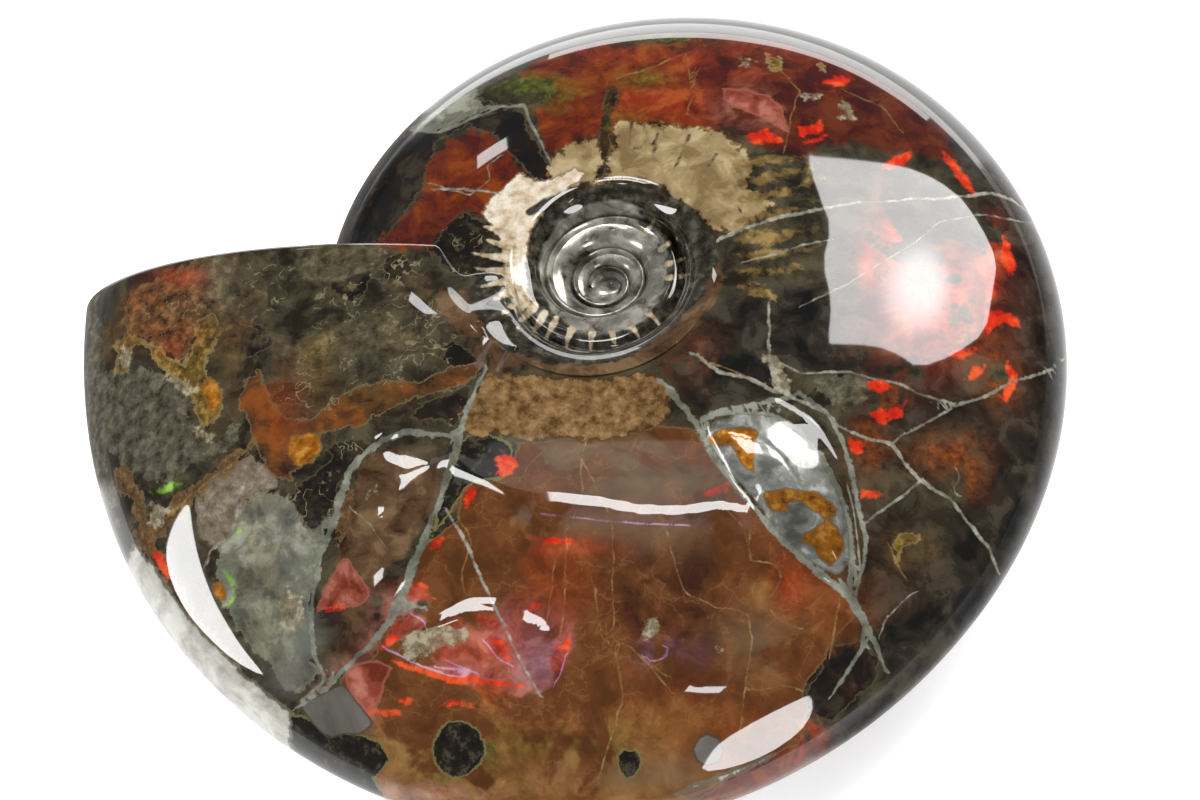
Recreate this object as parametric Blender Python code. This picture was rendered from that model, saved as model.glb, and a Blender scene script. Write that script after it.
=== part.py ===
"""A polished ammonite lying on its flank: one closed solid, in metres, with +Z up."""

import math

import bmesh
import bpy
import numpy as np
from mathutils import Matrix, Vector

MM = 0.001

# Driving dimensions. A turn is one whorl: the mouth is at turn 0 and turns count back from it.
VENTER_TURNS = (-1.0, -0.875, -0.75, -0.625, -0.5, -0.375, -0.25, -0.125, 0.0)
VENTER_RADII_MM = (37.9, 41.1, 45.0, 50.8, 56.6, 61.8, 68.0, 68.9, 71.0)
SHOULDER_TURNS = (-2.5, -2.0, -1.5, -1.0, -0.75, -0.5, -0.25, -0.06, 0.0)
SHOULDER_RADII_MM = (4.6, 6.4, 7.8, 11.0, 12.0, 15.1, 18.8, 17.0, 16.4)
WHORL_GROWTH = 1.81
CORE_HALF_THICKNESS_MM = 3.0
MOUTH_HALF_THICKNESS_MM = 17.4
FLANK_OUTWARD_POWER = 2.2
FLANK_UPWARD_POWER = 1.86
SEAM_TO_SHOULDER = 0.86
CENTRE_HEIGHT_MM = 4.6

# The mouth edge bends back where it meets the umbilicus
MOUTH_BEND_TURNS = 0.04
MOUTH_BEND_LENGTH = 0.2

# The shoulder is worn down towards the mouth
MOUTH_WEAR = 0.2
MOUTH_WEAR_LENGTH = 0.11

# Low swellings and dishes of the last whorl: turn, share of the flank, their half widths, height
FOLDS = (
    ("right_lobe", -0.372, 0.47, 0.040, 0.20, 1.1),
    ("left_lobe", -0.150, 0.52, 0.030, 0.22, 0.9),
    ("flank_dish", -0.262, 0.40, 0.055, 0.16, -1.1),
    ("mouth_dish", -0.060, 0.45, 0.040, 0.25, -0.5),
    ("upper_dish", -0.560, 0.45, 0.050, 0.22, -0.5),
)

STEPS_PER_TURN = 56
INNER_TURNS = 4
WALL_ROWS = 3
COVERED_FLANK_ROWS = 3
OPEN_FLANK_ROWS = 9

# How the fossil leans when it lies on its lower flank, and how far its rests are ground
REST_LEAN_X_DEG = -2.5
REST_LEAN_Y_DEG = 3.5
GROUND_DEPTH_MM = 0.5


def smoothstep(share: float) -> float:
    """Eases a share from 0 to 1."""
    share = min(1.0, max(0.0, share))
    return share * share * (3.0 - 2.0 * share)


def growth_curve(turns: tuple, radii_mm: tuple, turn: float) -> float:
    """A radius in mm at a turn, growing smoothly through the measured radii."""
    logs = [math.log(radius) for radius in radii_mm]
    slope = math.log(WHORL_GROWTH)
    if turn <= turns[0]:
        return radii_mm[0] * math.exp(slope * (turn - turns[0]))
    if turn >= turns[-1]:
        return radii_mm[-1] * math.exp(slope * (turn - turns[-1]))
    tangents = [slope] + [
        (logs[k + 1] - logs[k - 1]) / (turns[k + 1] - turns[k - 1]) for k in range(1, len(turns) - 1)
    ] + [slope]
    k = max(index for index in range(len(turns) - 1) if turns[index] <= turn)
    span = turns[k + 1] - turns[k]
    x = (turn - turns[k]) / span
    value = logs[k] * (1 + 2 * x) * (1 - x) ** 2
    value += logs[k + 1] * x * x * (3 - 2 * x)
    value += span * tangents[k] * x * (1 - x) ** 2
    value -= span * tangents[k + 1] * x * x * (1 - x)
    return math.exp(value)


def venter_radius(turn: float) -> float:
    """How far the outer edge of the whorl is from the coiling axis."""
    return growth_curve(VENTER_TURNS, VENTER_RADII_MM, turn)


def shoulder_radius(turn: float) -> float:
    """How far the umbilical shoulder, the thickest line of the whorl, is from the axis."""
    return growth_curve(SHOULDER_TURNS, SHOULDER_RADII_MM, turn)


def seam_radius(turn: float) -> float:
    """How far the line where a whorl meets the one inside it is from the axis."""
    return SEAM_TO_SHOULDER * shoulder_radius(turn)


def shoulder_height(turn: float) -> float:
    """Half the thickness of the whorl at its shoulder."""
    grown = MOUTH_HALF_THICKNESS_MM - CORE_HALF_THICKNESS_MM
    return CORE_HALF_THICKNESS_MM + grown * WHORL_GROWTH**turn


def flank_height(turn: float, share: float) -> float:
    """Half the thickness of the whorl at a share of the way from shoulder to venter."""
    height = shoulder_height(turn) * (1 - share**FLANK_OUTWARD_POWER) ** (1 / FLANK_UPWARD_POWER)
    worn = MOUTH_WEAR * smoothstep(1 + turn / MOUTH_WEAR_LENGTH) * (1 - share) ** 3
    return height * (1 - worn)


def flank_share(turn: float, radius: float) -> float:
    """The share of the flank that a radius stands for."""
    inner = shoulder_radius(turn)
    return (radius - inner) / (venter_radius(turn) - inner)


def fold_height(turn: float, share: float) -> float:
    """How far the folds of the last whorl lift the flank."""
    total = 0.0
    for _, at_turn, at_share, turn_width, share_width, height in FOLDS:
        along = (turn - at_turn + 0.05 * (share - at_share)) / turn_width
        across = (share - at_share) / share_width
        total += height * math.exp(-(along * along + across * across) / 2)
    return total * min(1.0, 4 * (1 - share)) * smoothstep(share / 0.15)


def seam_height(turn: float) -> float:
    """The height of the seam, which lies on the flank of the whorl inside."""
    inside = turn - 1
    return flank_height(inside, flank_share(inside, seam_radius(turn)))


def bend(turn: float, near_seam: float) -> float:
    """How far back, in turns, the growth line is bent at the umbilical end of the mouth."""
    return -MOUTH_BEND_TURNS * near_seam * smoothstep(1 + turn / MOUTH_BEND_LENGTH)


def under_mouth(turn: float) -> float:
    """The same bend, carried by the flank of the whorl that the mouth end lies on."""
    if turn <= -1:
        return bend(turn + 1, 1.0)
    return -MOUTH_BEND_TURNS * smoothstep(1 - (turn + 1) / MOUTH_BEND_LENGTH)


def point(turn: float, radius: float, height: float, shift: float) -> Vector:
    """A point of the upper side, in metres, with the mouth at -X and growth clockwise from above."""
    angle = math.pi - 2 * math.pi * (turn + shift)
    return Vector((radius * math.cos(angle), radius * math.sin(angle), height)) * MM


def inner_strip(turn: float) -> list:
    """The points from the seam over the umbilical wall and shoulder to the line of the next seam."""
    points = []
    shoulder, top = shoulder_radius(turn), flank_height(turn, 0.0)
    seam, foot = seam_radius(turn), seam_height(turn)
    for row in range(WALL_ROWS + 1):
        angle = 0.5 * math.pi * row / WALL_ROWS
        radius = shoulder - (shoulder - seam) * math.cos(angle)
        height = foot + (top - foot) * math.sin(angle)
        points.append(point(turn, radius, height, bend(turn, 1.0)))
    cover = flank_share(turn, seam_radius(turn + 1)) if turn >= -1 else None
    cover_radius = seam_radius(turn + 1)
    for row in range(1, COVERED_FLANK_ROWS + 1):
        part = row / COVERED_FLANK_ROWS
        radius = shoulder + (cover_radius - shoulder) * part
        share = flank_share(turn, radius)
        height = flank_height(turn, share)
        if cover is not None:
            height += fold_height(turn, share)
        shift = bend(turn, 1 - smoothstep(part)) + under_mouth(turn) * smoothstep(part)
        points.append(point(turn, radius, height, shift if turn > -1.3 else 0.0))
    return points


def outer_strip(turn: float) -> list:
    """The points of the open flank, from just past the next seam's line down to the venter."""
    inner, outer = shoulder_radius(turn), venter_radius(turn)
    first = math.asin(flank_share(turn, seam_radius(turn + 1)) ** (FLANK_OUTWARD_POWER / 2))
    points = []
    for row in range(1, OPEN_FLANK_ROWS + 1):
        part = row / OPEN_FLANK_ROWS
        angle = first + (0.5 * math.pi - first) * part
        share = math.sin(angle) ** (2 / FLANK_OUTWARD_POWER)
        height = flank_height(turn, share) if row < OPEN_FLANK_ROWS else 0.0
        lifted = height + (fold_height(turn, share) if row < OPEN_FLANK_ROWS else 0.0)
        shift = under_mouth(turn) * (1 - smoothstep(part / 0.5))
        points.append(point(turn, inner + (outer - inner) * share, lifted, shift))
    return points


class Shell:
    """The mesh of the fossil, grown column by column on both sides at once."""

    def __init__(self) -> None:
        self.mesh = bmesh.new()
        self.columns = INNER_TURNS * STEPS_PER_TURN
        self.first_open = self.columns - STEPS_PER_TURN
        self.last_row = WALL_ROWS + COVERED_FLANK_ROWS

    def turn(self, column: int) -> float:
        """The turn that a column stands at."""
        return (column - self.columns) / STEPS_PER_TURN

    def grow_side(self, side: int, venter: dict) -> tuple:
        """Adds one side, and returns its inner rows, its open rows and its centre point."""
        flip = Vector((1, 1, side))
        inner, outer = [], {}
        for column in range(self.columns + 1):
            rows = [self.mesh.verts.new(place * flip) for place in inner_strip(self.turn(column))[1:]]
            if column >= STEPS_PER_TURN:
                seam = inner[column - STEPS_PER_TURN][self.last_row]
            else:
                seam = self.mesh.verts.new(inner_strip(self.turn(column))[0] * flip)
            inner.append([seam] + rows)
            if column >= self.first_open:
                open_rows = outer_strip(self.turn(column))
                made = [self.mesh.verts.new(place * flip) for place in open_rows[:-1]]
                if column not in venter:
                    venter[column] = self.mesh.verts.new(open_rows[-1])
                outer[column] = [rows[-1]] + made + [venter[column]]
        centre = self.mesh.verts.new(Vector((0, 0, side * CENTRE_HEIGHT_MM * MM)))
        return inner, outer, centre

    def skin_side(self, inner: list, outer: dict, centre) -> None:
        """Joins the columns of one side with faces, and closes its centre."""
        for column in range(self.columns):
            here, after = inner[column], inner[column + 1]
            for row in range(self.last_row):
                self.mesh.faces.new((here[row], here[row + 1], after[row + 1], after[row]))
            if column >= self.first_open:
                here, after = outer[column], outer[column + 1]
                for row in range(OPEN_FLANK_ROWS):
                    self.mesh.faces.new((here[row], here[row + 1], after[row + 1], after[row]))
        ring = [inner[column][0] for column in range(STEPS_PER_TURN + 1)]
        ring += list(reversed(inner[0][1:-1]))
        for first, second in zip(ring, ring[1:] + ring[:1]):
            self.mesh.faces.new((centre, first, second))

    def close_mouth(self, upper: tuple, lower: tuple) -> None:
        """Fills the face of the mouth, between the last section and the whorl that it clasps."""
        last, start = self.columns, self.first_open
        outside = upper[0][last] + upper[1][last][1:]
        outside += list(reversed(lower[0][last] + lower[1][last][1:-1]))
        inside = upper[1][start] + list(reversed(lower[1][start][:-1]))
        near, far = 0, 0
        while near < len(inside) - 1 or far < len(outside) - 1:
            step_far = near == len(inside) - 1
            if not step_far and far < len(outside) - 1:
                ahead_far = (outside[far + 1].co - inside[near].co).length
                ahead_near = (outside[far].co - inside[near + 1].co).length
                step_far = ahead_far < ahead_near
            if step_far:
                corners = (inside[near], outside[far], outside[far + 1])
                far += 1
            else:
                corners = (inside[near], outside[far], inside[near + 1])
                near += 1
            if len(set(corners)) == 3:
                self.mesh.faces.new(corners)

    def build(self) -> bmesh.types.BMesh:
        """Grows, skins and closes the whole fossil."""
        venter = {}
        upper = self.grow_side(1, venter)
        lower = self.grow_side(-1, venter)
        for side in (upper, lower):
            self.skin_side(*side)
        self.close_mouth(upper, lower)
        bmesh.ops.recalc_face_normals(self.mesh, faces=self.mesh.faces)
        return self.mesh


def lay_down(mesh: bmesh.types.BMesh) -> None:
    """Leans the fossil as it rests, centres it, and grinds the small flats that it rests on."""
    lean = Matrix.Rotation(math.radians(REST_LEAN_X_DEG), 3, "X")
    lean = Matrix.Rotation(math.radians(REST_LEAN_Y_DEG), 3, "Y") @ lean
    bmesh.ops.transform(mesh, matrix=lean.to_4x4(), verts=mesh.verts)
    low = [min(vert.co[axis] for vert in mesh.verts) for axis in range(3)]
    high = [max(vert.co[axis] for vert in mesh.verts) for axis in range(3)]
    middle = (-(low[0] + high[0]) / 2, -(low[1] + high[1]) / 2)
    drop = -low[2] - GROUND_DEPTH_MM * MM
    bmesh.ops.translate(mesh, vec=(middle[0], middle[1], drop), verts=mesh.verts)
    everything = list(mesh.verts) + list(mesh.edges) + list(mesh.faces)
    cut = bmesh.ops.bisect_plane(
        mesh, geom=everything, dist=1e-6, plane_co=(0, 0, 0), plane_no=(0, 0, 1), clear_inner=True
    )
    rims = [item for item in cut["geom_cut"] if isinstance(item, bmesh.types.BMEdge)]
    bmesh.ops.holes_fill(mesh, edges=rims, sides=0)
    bmesh.ops.triangulate(mesh, faces=[face for face in mesh.faces if len(face.verts) > 4])
    bmesh.ops.recalc_face_normals(mesh, faces=mesh.faces)


def stone_material() -> bpy.types.Material:
    """The polished brown and grey-green stone that the shell has turned to."""
    material = bpy.data.materials.new("polished_fossil")
    material.use_nodes = True
    shader = material.node_tree.nodes["Principled BSDF"]
    shader.inputs["Base Color"].default_value = (0.16, 0.07, 0.035, 1.0)
    shader.inputs["Roughness"].default_value = 0.12
    shader.inputs["Coat Weight"].default_value = 0.8
    return material


def main() -> None:
    """Clears the scene and builds the fossil."""
    for thing in list(bpy.data.objects):
        bpy.data.objects.remove(thing, do_unlink=True)
    mesh = Shell().build()
    lay_down(mesh)
    data = bpy.data.meshes.new("ammonite")
    mesh.to_mesh(data)
    mesh.free()
    data.materials.append(stone_material())
    data.shade_smooth()
    data.set_sharp_from_angle(angle=math.radians(40))
    ammonite = bpy.data.objects.new("ammonite", data)
    bpy.context.scene.collection.objects.link(ammonite)


main()
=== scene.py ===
"""A polished ammonite fossil lying on a pale studio table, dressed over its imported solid."""

import logging
import math
from dataclasses import dataclass, field
from enum import Enum
from typing import Sequence

import bmesh
import bpy
import numpy as np
from bpy.types import Material, Mesh, Node, NodeSocket, NodeTree, Object
from mathutils import Matrix, Vector


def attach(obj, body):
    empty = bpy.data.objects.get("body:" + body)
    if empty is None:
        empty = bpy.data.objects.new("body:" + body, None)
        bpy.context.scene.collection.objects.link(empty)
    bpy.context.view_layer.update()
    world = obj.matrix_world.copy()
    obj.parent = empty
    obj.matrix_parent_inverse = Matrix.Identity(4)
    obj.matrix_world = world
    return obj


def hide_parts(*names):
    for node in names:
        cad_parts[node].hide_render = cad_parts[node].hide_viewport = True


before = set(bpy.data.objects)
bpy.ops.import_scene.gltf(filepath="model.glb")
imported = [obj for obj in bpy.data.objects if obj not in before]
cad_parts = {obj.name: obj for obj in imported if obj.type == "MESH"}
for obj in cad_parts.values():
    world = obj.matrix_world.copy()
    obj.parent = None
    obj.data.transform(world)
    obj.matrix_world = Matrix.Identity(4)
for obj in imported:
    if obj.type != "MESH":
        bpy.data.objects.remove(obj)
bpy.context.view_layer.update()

LOG = logging.getLogger("ammonite")
MM = 0.001
TURN = 2 * math.pi
NEARLY_ZERO = 1e-9

Array = np.ndarray
Span = tuple[float, float]
Corners = tuple[tuple[float, float], ...]
Stroke = tuple[tuple[float, float, float], ...]
Spots = tuple[tuple[float, float, float, float, float], ...]


def smoothstep(share: Array | float) -> Array:
    """Eases shares from 0 to 1; those outside are cut off there."""
    share = np.clip(share, 0.0, 1.0)
    return share * share * (3.0 - 2.0 * share)


@dataclass(frozen=True)
class Growth:
    """How the shell grew: its radii and thickness, turn by turn, in millimetres. Turn 0 is the mouth."""

    venter_turns: tuple[float, ...] = (-1.0, -0.875, -0.75, -0.625, -0.5, -0.375, -0.25, -0.125, 0.0)
    venter_radii: tuple[float, ...] = (37.9, 41.1, 45.0, 50.8, 56.6, 61.8, 68.0, 68.9, 71.0)
    shoulder_turns: tuple[float, ...] = (-2.5, -2.0, -1.5, -1.0, -0.75, -0.5, -0.25, -0.06, 0.0)
    shoulder_radii: tuple[float, ...] = (4.6, 6.4, 7.8, 11.0, 12.0, 15.1, 18.8, 17.0, 16.4)
    whorl_growth: float = 1.81
    core_half_thickness: float = 3.0
    mouth_half_thickness: float = 17.4
    outward_power: float = 2.2
    upward_power: float = 1.86
    seam_to_shoulder: float = 0.68
    centre_height: float = 4.6
    mouth_bend_turns: float = 0.04
    mouth_bend_length: float = 0.2
    mouth_wear: float = 0.2
    mouth_wear_length: float = 0.11
    tube_bulge: float = 0.8
    tube_turns: tuple[float, float] = (-1.12, -1.0)

    def along(self, turns: Sequence[float], radii: Sequence[float], turn: Array) -> Array:
        """Grows a radius smoothly through its known values.

        Args:
            turns: The turns at which the radius is known.
            radii: The radii there, in mm.
            turn: The turns wanted.

        Returns:
            The radius at each wanted turn, in mm.
        """
        known = np.array(turns)
        logs = np.log(np.array(radii))
        slope = math.log(self.whorl_growth)
        middle = (logs[2:] - logs[:-2]) / (known[2:] - known[:-2])
        tangents = np.concatenate([[slope], middle, [slope]])
        inside = np.clip(turn, known[0], known[-1])
        k = np.clip(np.searchsorted(known, inside, side="right") - 1, 0, len(known) - 2)
        span = known[k + 1] - known[k]
        x = (inside - known[k]) / span
        value = logs[k] * (1 + 2 * x) * (1 - x) ** 2
        value = value + logs[k + 1] * x * x * (3 - 2 * x)
        value = value + span * tangents[k] * x * (1 - x) ** 2
        value = value - span * tangents[k + 1] * x * x * (1 - x)
        return np.exp(value + slope * (turn - inside))

    def venter(self, turn: Array) -> Array:
        """The radius of the outer edge."""
        return self.along(self.venter_turns, self.venter_radii, turn)

    def shoulder(self, turn: Array) -> Array:
        """The radius of the umbilical shoulder."""
        return self.along(self.shoulder_turns, self.shoulder_radii, turn)

    def seam(self, turn: Array) -> Array:
        """The radius of the line where a whorl meets the one inside it."""
        return self.seam_to_shoulder * self.shoulder(turn)

    def share(self, turn: Array, radius: Array) -> Array:
        """The share of the way from shoulder to venter that a radius stands for."""
        inner = self.shoulder(turn)
        return (radius - inner) / (self.venter(turn) - inner)

    def height(self, turn: Array, share: Array) -> Array:
        """Half the thickness of the whorl.

        Args:
            turn: The turns.
            share: The shares of the way from shoulder to venter.

        Returns:
            The height above the middle plane, in mm, with the wear at the mouth.
        """
        grown = self.mouth_half_thickness - self.core_half_thickness
        top = self.core_half_thickness + grown * self.whorl_growth**turn
        body = np.clip(1 - np.clip(share, 0, 1) ** self.outward_power, 0, 1)
        worn = self.mouth_wear * smoothstep(1 + turn / self.mouth_wear_length) * (1 - share) ** 3
        return top * body ** (1 / self.upward_power) * (1 - np.clip(worn, 0, 1))

    def seam_height(self, turn: Array) -> Array:
        """The height of the seam, which lies on the flank of the whorl inside."""
        return self.height(turn - 1, self.share(turn - 1, self.seam(turn)))

    def bend(self, turn: Array) -> Array:
        """How far back, in turns, the umbilical end of the mouth is bent."""
        return -self.mouth_bend_turns * smoothstep(1 + turn / self.mouth_bend_length)

    def under_mouth(self, turn: Array) -> Array:
        """The same bend, on the flank of the whorl that the end of the mouth lies on.

        Args:
            turn: The turns.

        Returns:
            The bend at each turn, in turns.
        """
        before = self.bend(np.minimum(turn, -1) + 1)
        after = -self.mouth_bend_turns * smoothstep(1 - (turn + 1) / self.mouth_bend_length)
        return np.where(turn <= -1, before, after)


@dataclass(frozen=True)
class Fold:
    """A low dish of the last whorl: where it is, its half widths and its height in mm."""

    turn: float
    share: float
    turn_width: float
    share_width: float
    height: float


def nearest_on_segment(
    points: Array, start: Array, edge: Array
) -> tuple[Array, Array]:
    """Finds the place on a segment that is nearest to each point.

    Args:
        points: Points in pixels, one to a row.
        start: Where the segment starts.
        edge: The way from its start to its end.

    Returns:
        The share of the segment, 0 to 1, and the distance in pixels, for each point.
    """
    offset = points - start
    share = np.clip((offset @ edge) / max(float(edge @ edge), NEARLY_ZERO), 0, 1)
    return share, np.linalg.norm(offset - share[:, None] * edge, axis=1)


def outline_distance(points: Array, outline: Corners, reach: float) -> Array:
    """How deep points lie inside a closed outline.

    Args:
        points: Points in pixels, one to a row.
        outline: The corners of the outline, in order.
        reach: The distance at which the answer stops growing.

    Returns:
        The distance to the outline in pixels, positive inside and negative outside.
    """
    corners = np.array(outline)
    low, high = corners.min(axis=0) - reach, corners.max(axis=0) + reach
    near = np.all((points > low) & (points < high), axis=1)
    answer = np.full(len(points), -reach)
    if not near.any():
        return answer
    p = points[near]
    closest = np.full(len(p), reach)
    inside = np.zeros(len(p), bool)
    for a, b in zip(corners, np.roll(corners, -1, axis=0)):
        edge = b - a
        closest = np.minimum(closest, nearest_on_segment(p, a, edge)[1])
        crosses = (a[1] > p[:, 1]) != (b[1] > p[:, 1])
        with np.errstate(divide="ignore", invalid="ignore"):
            at = a[0] + (p[:, 1] - a[1]) * edge[0] / edge[1]
        inside ^= crosses & (p[:, 0] < at)
    answer[near] = np.where(inside, closest, -closest)
    return answer


def stroke_distance(points: Array, stroke: Stroke, reach: float) -> Array:
    """How deep points lie inside a brush stroke whose half width changes along it.

    Args:
        points: Points in pixels, one to a row.
        stroke: The points of the stroke's middle line, each with its half width there.
        reach: The distance at which the answer stops growing.

    Returns:
        The half width less the distance to the middle line, in pixels.
    """
    answer = np.full(len(points), -reach)
    for (ax, ay, aw), (bx, by, bw) in zip(stroke[:-1], stroke[1:]):
        share, away = nearest_on_segment(points, np.array((ax, ay)), np.array((bx - ax, by - ay)))
        answer = np.maximum(answer, aw + (bw - aw) * share - away)
    return answer


def line_distance(points: Array, lines: Sequence[Stroke], reach: float) -> Array:
    """How points lie to the nearest of some thin lines.

    Args:
        points: Points in pixels, one to a row.
        lines: The lines, each point with the line's half width there.
        reach: The distance at which the answer stops growing.

    Returns:
        For each point the distance signed by side, the plain distance and the half width.
    """
    best = np.full(len(points), reach)
    signed, width = np.full(len(points), reach), np.zeros(len(points))
    for line in lines:
        for (ax, ay, aw), (bx, by, bw) in zip(line[:-1], line[1:]):
            a, edge = np.array((ax, ay)), np.array((bx - ax, by - ay))
            share, away = nearest_on_segment(points, a, edge)
            side = edge[0] * (points[:, 1] - ay) - edge[1] * (points[:, 0] - ax)
            closer = away < best
            best = np.where(closer, away, best)
            signed = np.where(closer, np.where(side < 0, -away, away), signed)
            width = np.where(closer, aw + (bw - aw) * share, width)
    return np.stack([signed, best, width], axis=1)


@dataclass(frozen=True)
class Swell:
    """A raised or sunken field of the flank, drawn in photograph pixels: its outline, rise and rim."""

    outline: Corners
    height: float
    rim: float
    margin: float = 20.0

    def lift(self, points: Array) -> Array:
        """How far it lifts points of the photograph, in mm."""
        share = np.clip(outline_distance(points, self.outline, self.rim + self.margin) / self.rim, 0, 1)
        return self.height * (1 - (1 - share) ** 2)


@dataclass(frozen=True)
class Ridge:
    """A low crest along a line drawn in photograph pixels: its rise, its spread and its roundness."""

    line: Stroke
    height: float
    spread: float
    round: float = 4.0
    reach: float = 400.0

    def lift(self, points: Array) -> Array:
        """How far it lifts points of the photograph.

        Args:
            points: Points in pixels, one to a row.

        Returns:
            The lift of each point, in mm.
        """
        _, away, strength = line_distance(points, (self.line,), self.reach).T
        soft = np.sqrt(away**2 + self.round**2) - self.round
        return self.height * strength * np.exp(-soft / self.spread)


@dataclass(frozen=True)
class Resting:
    """How the fossil lies: its lean in degrees, and where that puts the middle of its coil, in mm."""

    lean_x: float = -2.5
    lean_y: float = 3.5
    middle: tuple[float, float, float] = (6.973, 11.274, 14.661)

    def matrix(self) -> Matrix:
        """Works out the turn and move that lay the fossil down.

        Returns:
            The matrix, in metres.
        """
        lean = Matrix.Rotation(math.radians(self.lean_y), 4, "Y")
        lean = lean @ Matrix.Rotation(math.radians(self.lean_x), 4, "X")
        return Matrix.Translation(Vector(self.middle) * MM) @ lean


@dataclass(frozen=True)
class PhotoCamera:
    """The photograph's camera, placed in mm and degrees from the middle of the coil."""

    place: tuple[float, float, float] = (27.97, -112.99, 191.94)
    turned: tuple[float, float, float] = (27.409, 7.193, 2.584)
    lens_px: float = 1729.0
    width_px: float = 1200.0
    height_px: float = 800.0
    sensor: float = 36.0
    nearest: float = 0.01

    def add(self, resting: Resting) -> Object:
        """Adds the camera and makes it the scene's.

        Args:
            resting: How the fossil lies, which the camera is tied to.

        Returns:
            The camera object.
        """
        matrix = resting.matrix() @ self.matrix()
        bpy.ops.object.camera_add(location=matrix.to_translation(), rotation=matrix.to_euler())
        camera = bpy.context.object
        camera.name = "photo_camera"
        camera.data.sensor_width = self.sensor
        camera.data.lens = self.lens_px / self.width_px * self.sensor
        camera.data.clip_start = self.nearest
        camera.data.dof.use_dof = False
        bpy.context.scene.camera = camera
        return camera

    def matrix(self) -> Matrix:
        """Works out the camera's place and turn in the frame of the coil.

        Returns:
            The matrix, in metres.
        """
        turned = [math.radians(angle) for angle in self.turned]
        matrix = Matrix.Translation(Vector(self.place) * MM)
        for angle, axis in zip(reversed(turned), "ZYX"):
            matrix = matrix @ Matrix.Rotation(angle, 4, axis)
        return matrix

    def pixels(self, places: Array) -> Array:
        """Where points fall in the photograph.

        Args:
            places: Points in the frame of the coil, in mm, one to a row.

        Returns:
            Their pixel coordinates, one to a row.
        """
        turn = np.array(self.matrix().to_3x3())
        seen = (places - np.array(self.place)) @ turn
        across = self.width_px / 2 + self.lens_px * seen[:, 0] / -seen[:, 2]
        down = self.height_px / 2 - self.lens_px * seen[:, 1] / -seen[:, 2]
        return np.stack([across, down], axis=1)


def read_points(mesh: Mesh) -> tuple[Array, Array, Array]:
    """Reads the turn, the row and the place of each point of the fossil.

    Args:
        mesh: The fossil's mesh, with its two growth attributes.

    Returns:
        The turns, the rows, and the places in metres, one to a row.
    """
    count = len(mesh.vertices)
    turn, row, place = np.zeros(count), np.zeros(count), np.zeros(count * 3)
    mesh.attributes["turn"].data.foreach_get("value", turn)
    mesh.attributes["row"].data.foreach_get("value", row)
    mesh.vertices.foreach_get("co", place)
    return turn, row, place.reshape(-1, 3)


def add_attribute(mesh: Mesh, name: str, values: Array) -> None:
    """Gives each point of a mesh its number under a new name."""
    mesh.attributes.new(name, "FLOAT", "POINT").data.foreach_set("value", values)


def mark_selected(shell: Object, name: str, value: float) -> None:
    """Sets an attribute of the selected points, in edit mode."""
    shell.data.attributes.active = shell.data.attributes[name]
    bpy.ops.mesh.attribute_set(value_float=value)


# Swells and crests of the last whorl, in the photograph's pixels; a crest's third number is its strength
LEFT_LOBE: Corners = (
    (362, 452), (385, 438), (425, 444), (452, 458), (442, 505), (424, 540), (405, 580), (385, 612),
    (350, 655), (335, 672), (320, 662), (310, 620), (316, 575), (332, 520), (344, 480),
)
RIGHT_LOBE: Corners = (
    (704, 424), (740, 404), (780, 402), (815, 422), (842, 465), (858, 510), (864, 560), (856, 592),
    (828, 582), (795, 554), (765, 518), (733, 480),
)
LOBE_CREST: Stroke = (
    (348, 462, 0.4), (364, 446, 1), (384, 434, 1), (402, 435, 1), (418, 446, 1), (433, 458, 1),
    (452, 464, 1), (480, 478, 1), (510, 491, 1), (535, 497, 1), (560, 498, 1), (600, 503, 1), (640, 511, 1),
    (680, 512, 1), (720, 506, 1), (757, 513, 1), (800, 545, 0),
)
PETAL_CREST: Stroke = (
    (392, 651, 0), (418, 638, 1), (442, 627, 1), (468, 617, 1), (493, 617, 1), (520, 627, 1), (545, 639, 1),
    (556, 656, 0.6), (552, 678, 0),
)
SEAM_CREST: Stroke = (
    (464, 281, 0), (477, 309, 1), (487, 338, 1), (509, 366, 1), (562, 377, 1), (605, 378, 1), (636, 372, 1),
    (664, 354, 1), (695, 327, 1), (720, 295, 1), (727, 268, 0),
)
UPPER_CREST: Stroke = ((404, 262, 0.5), (416, 278, 1), (428, 296, 1), (440, 318, 0.6))


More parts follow.
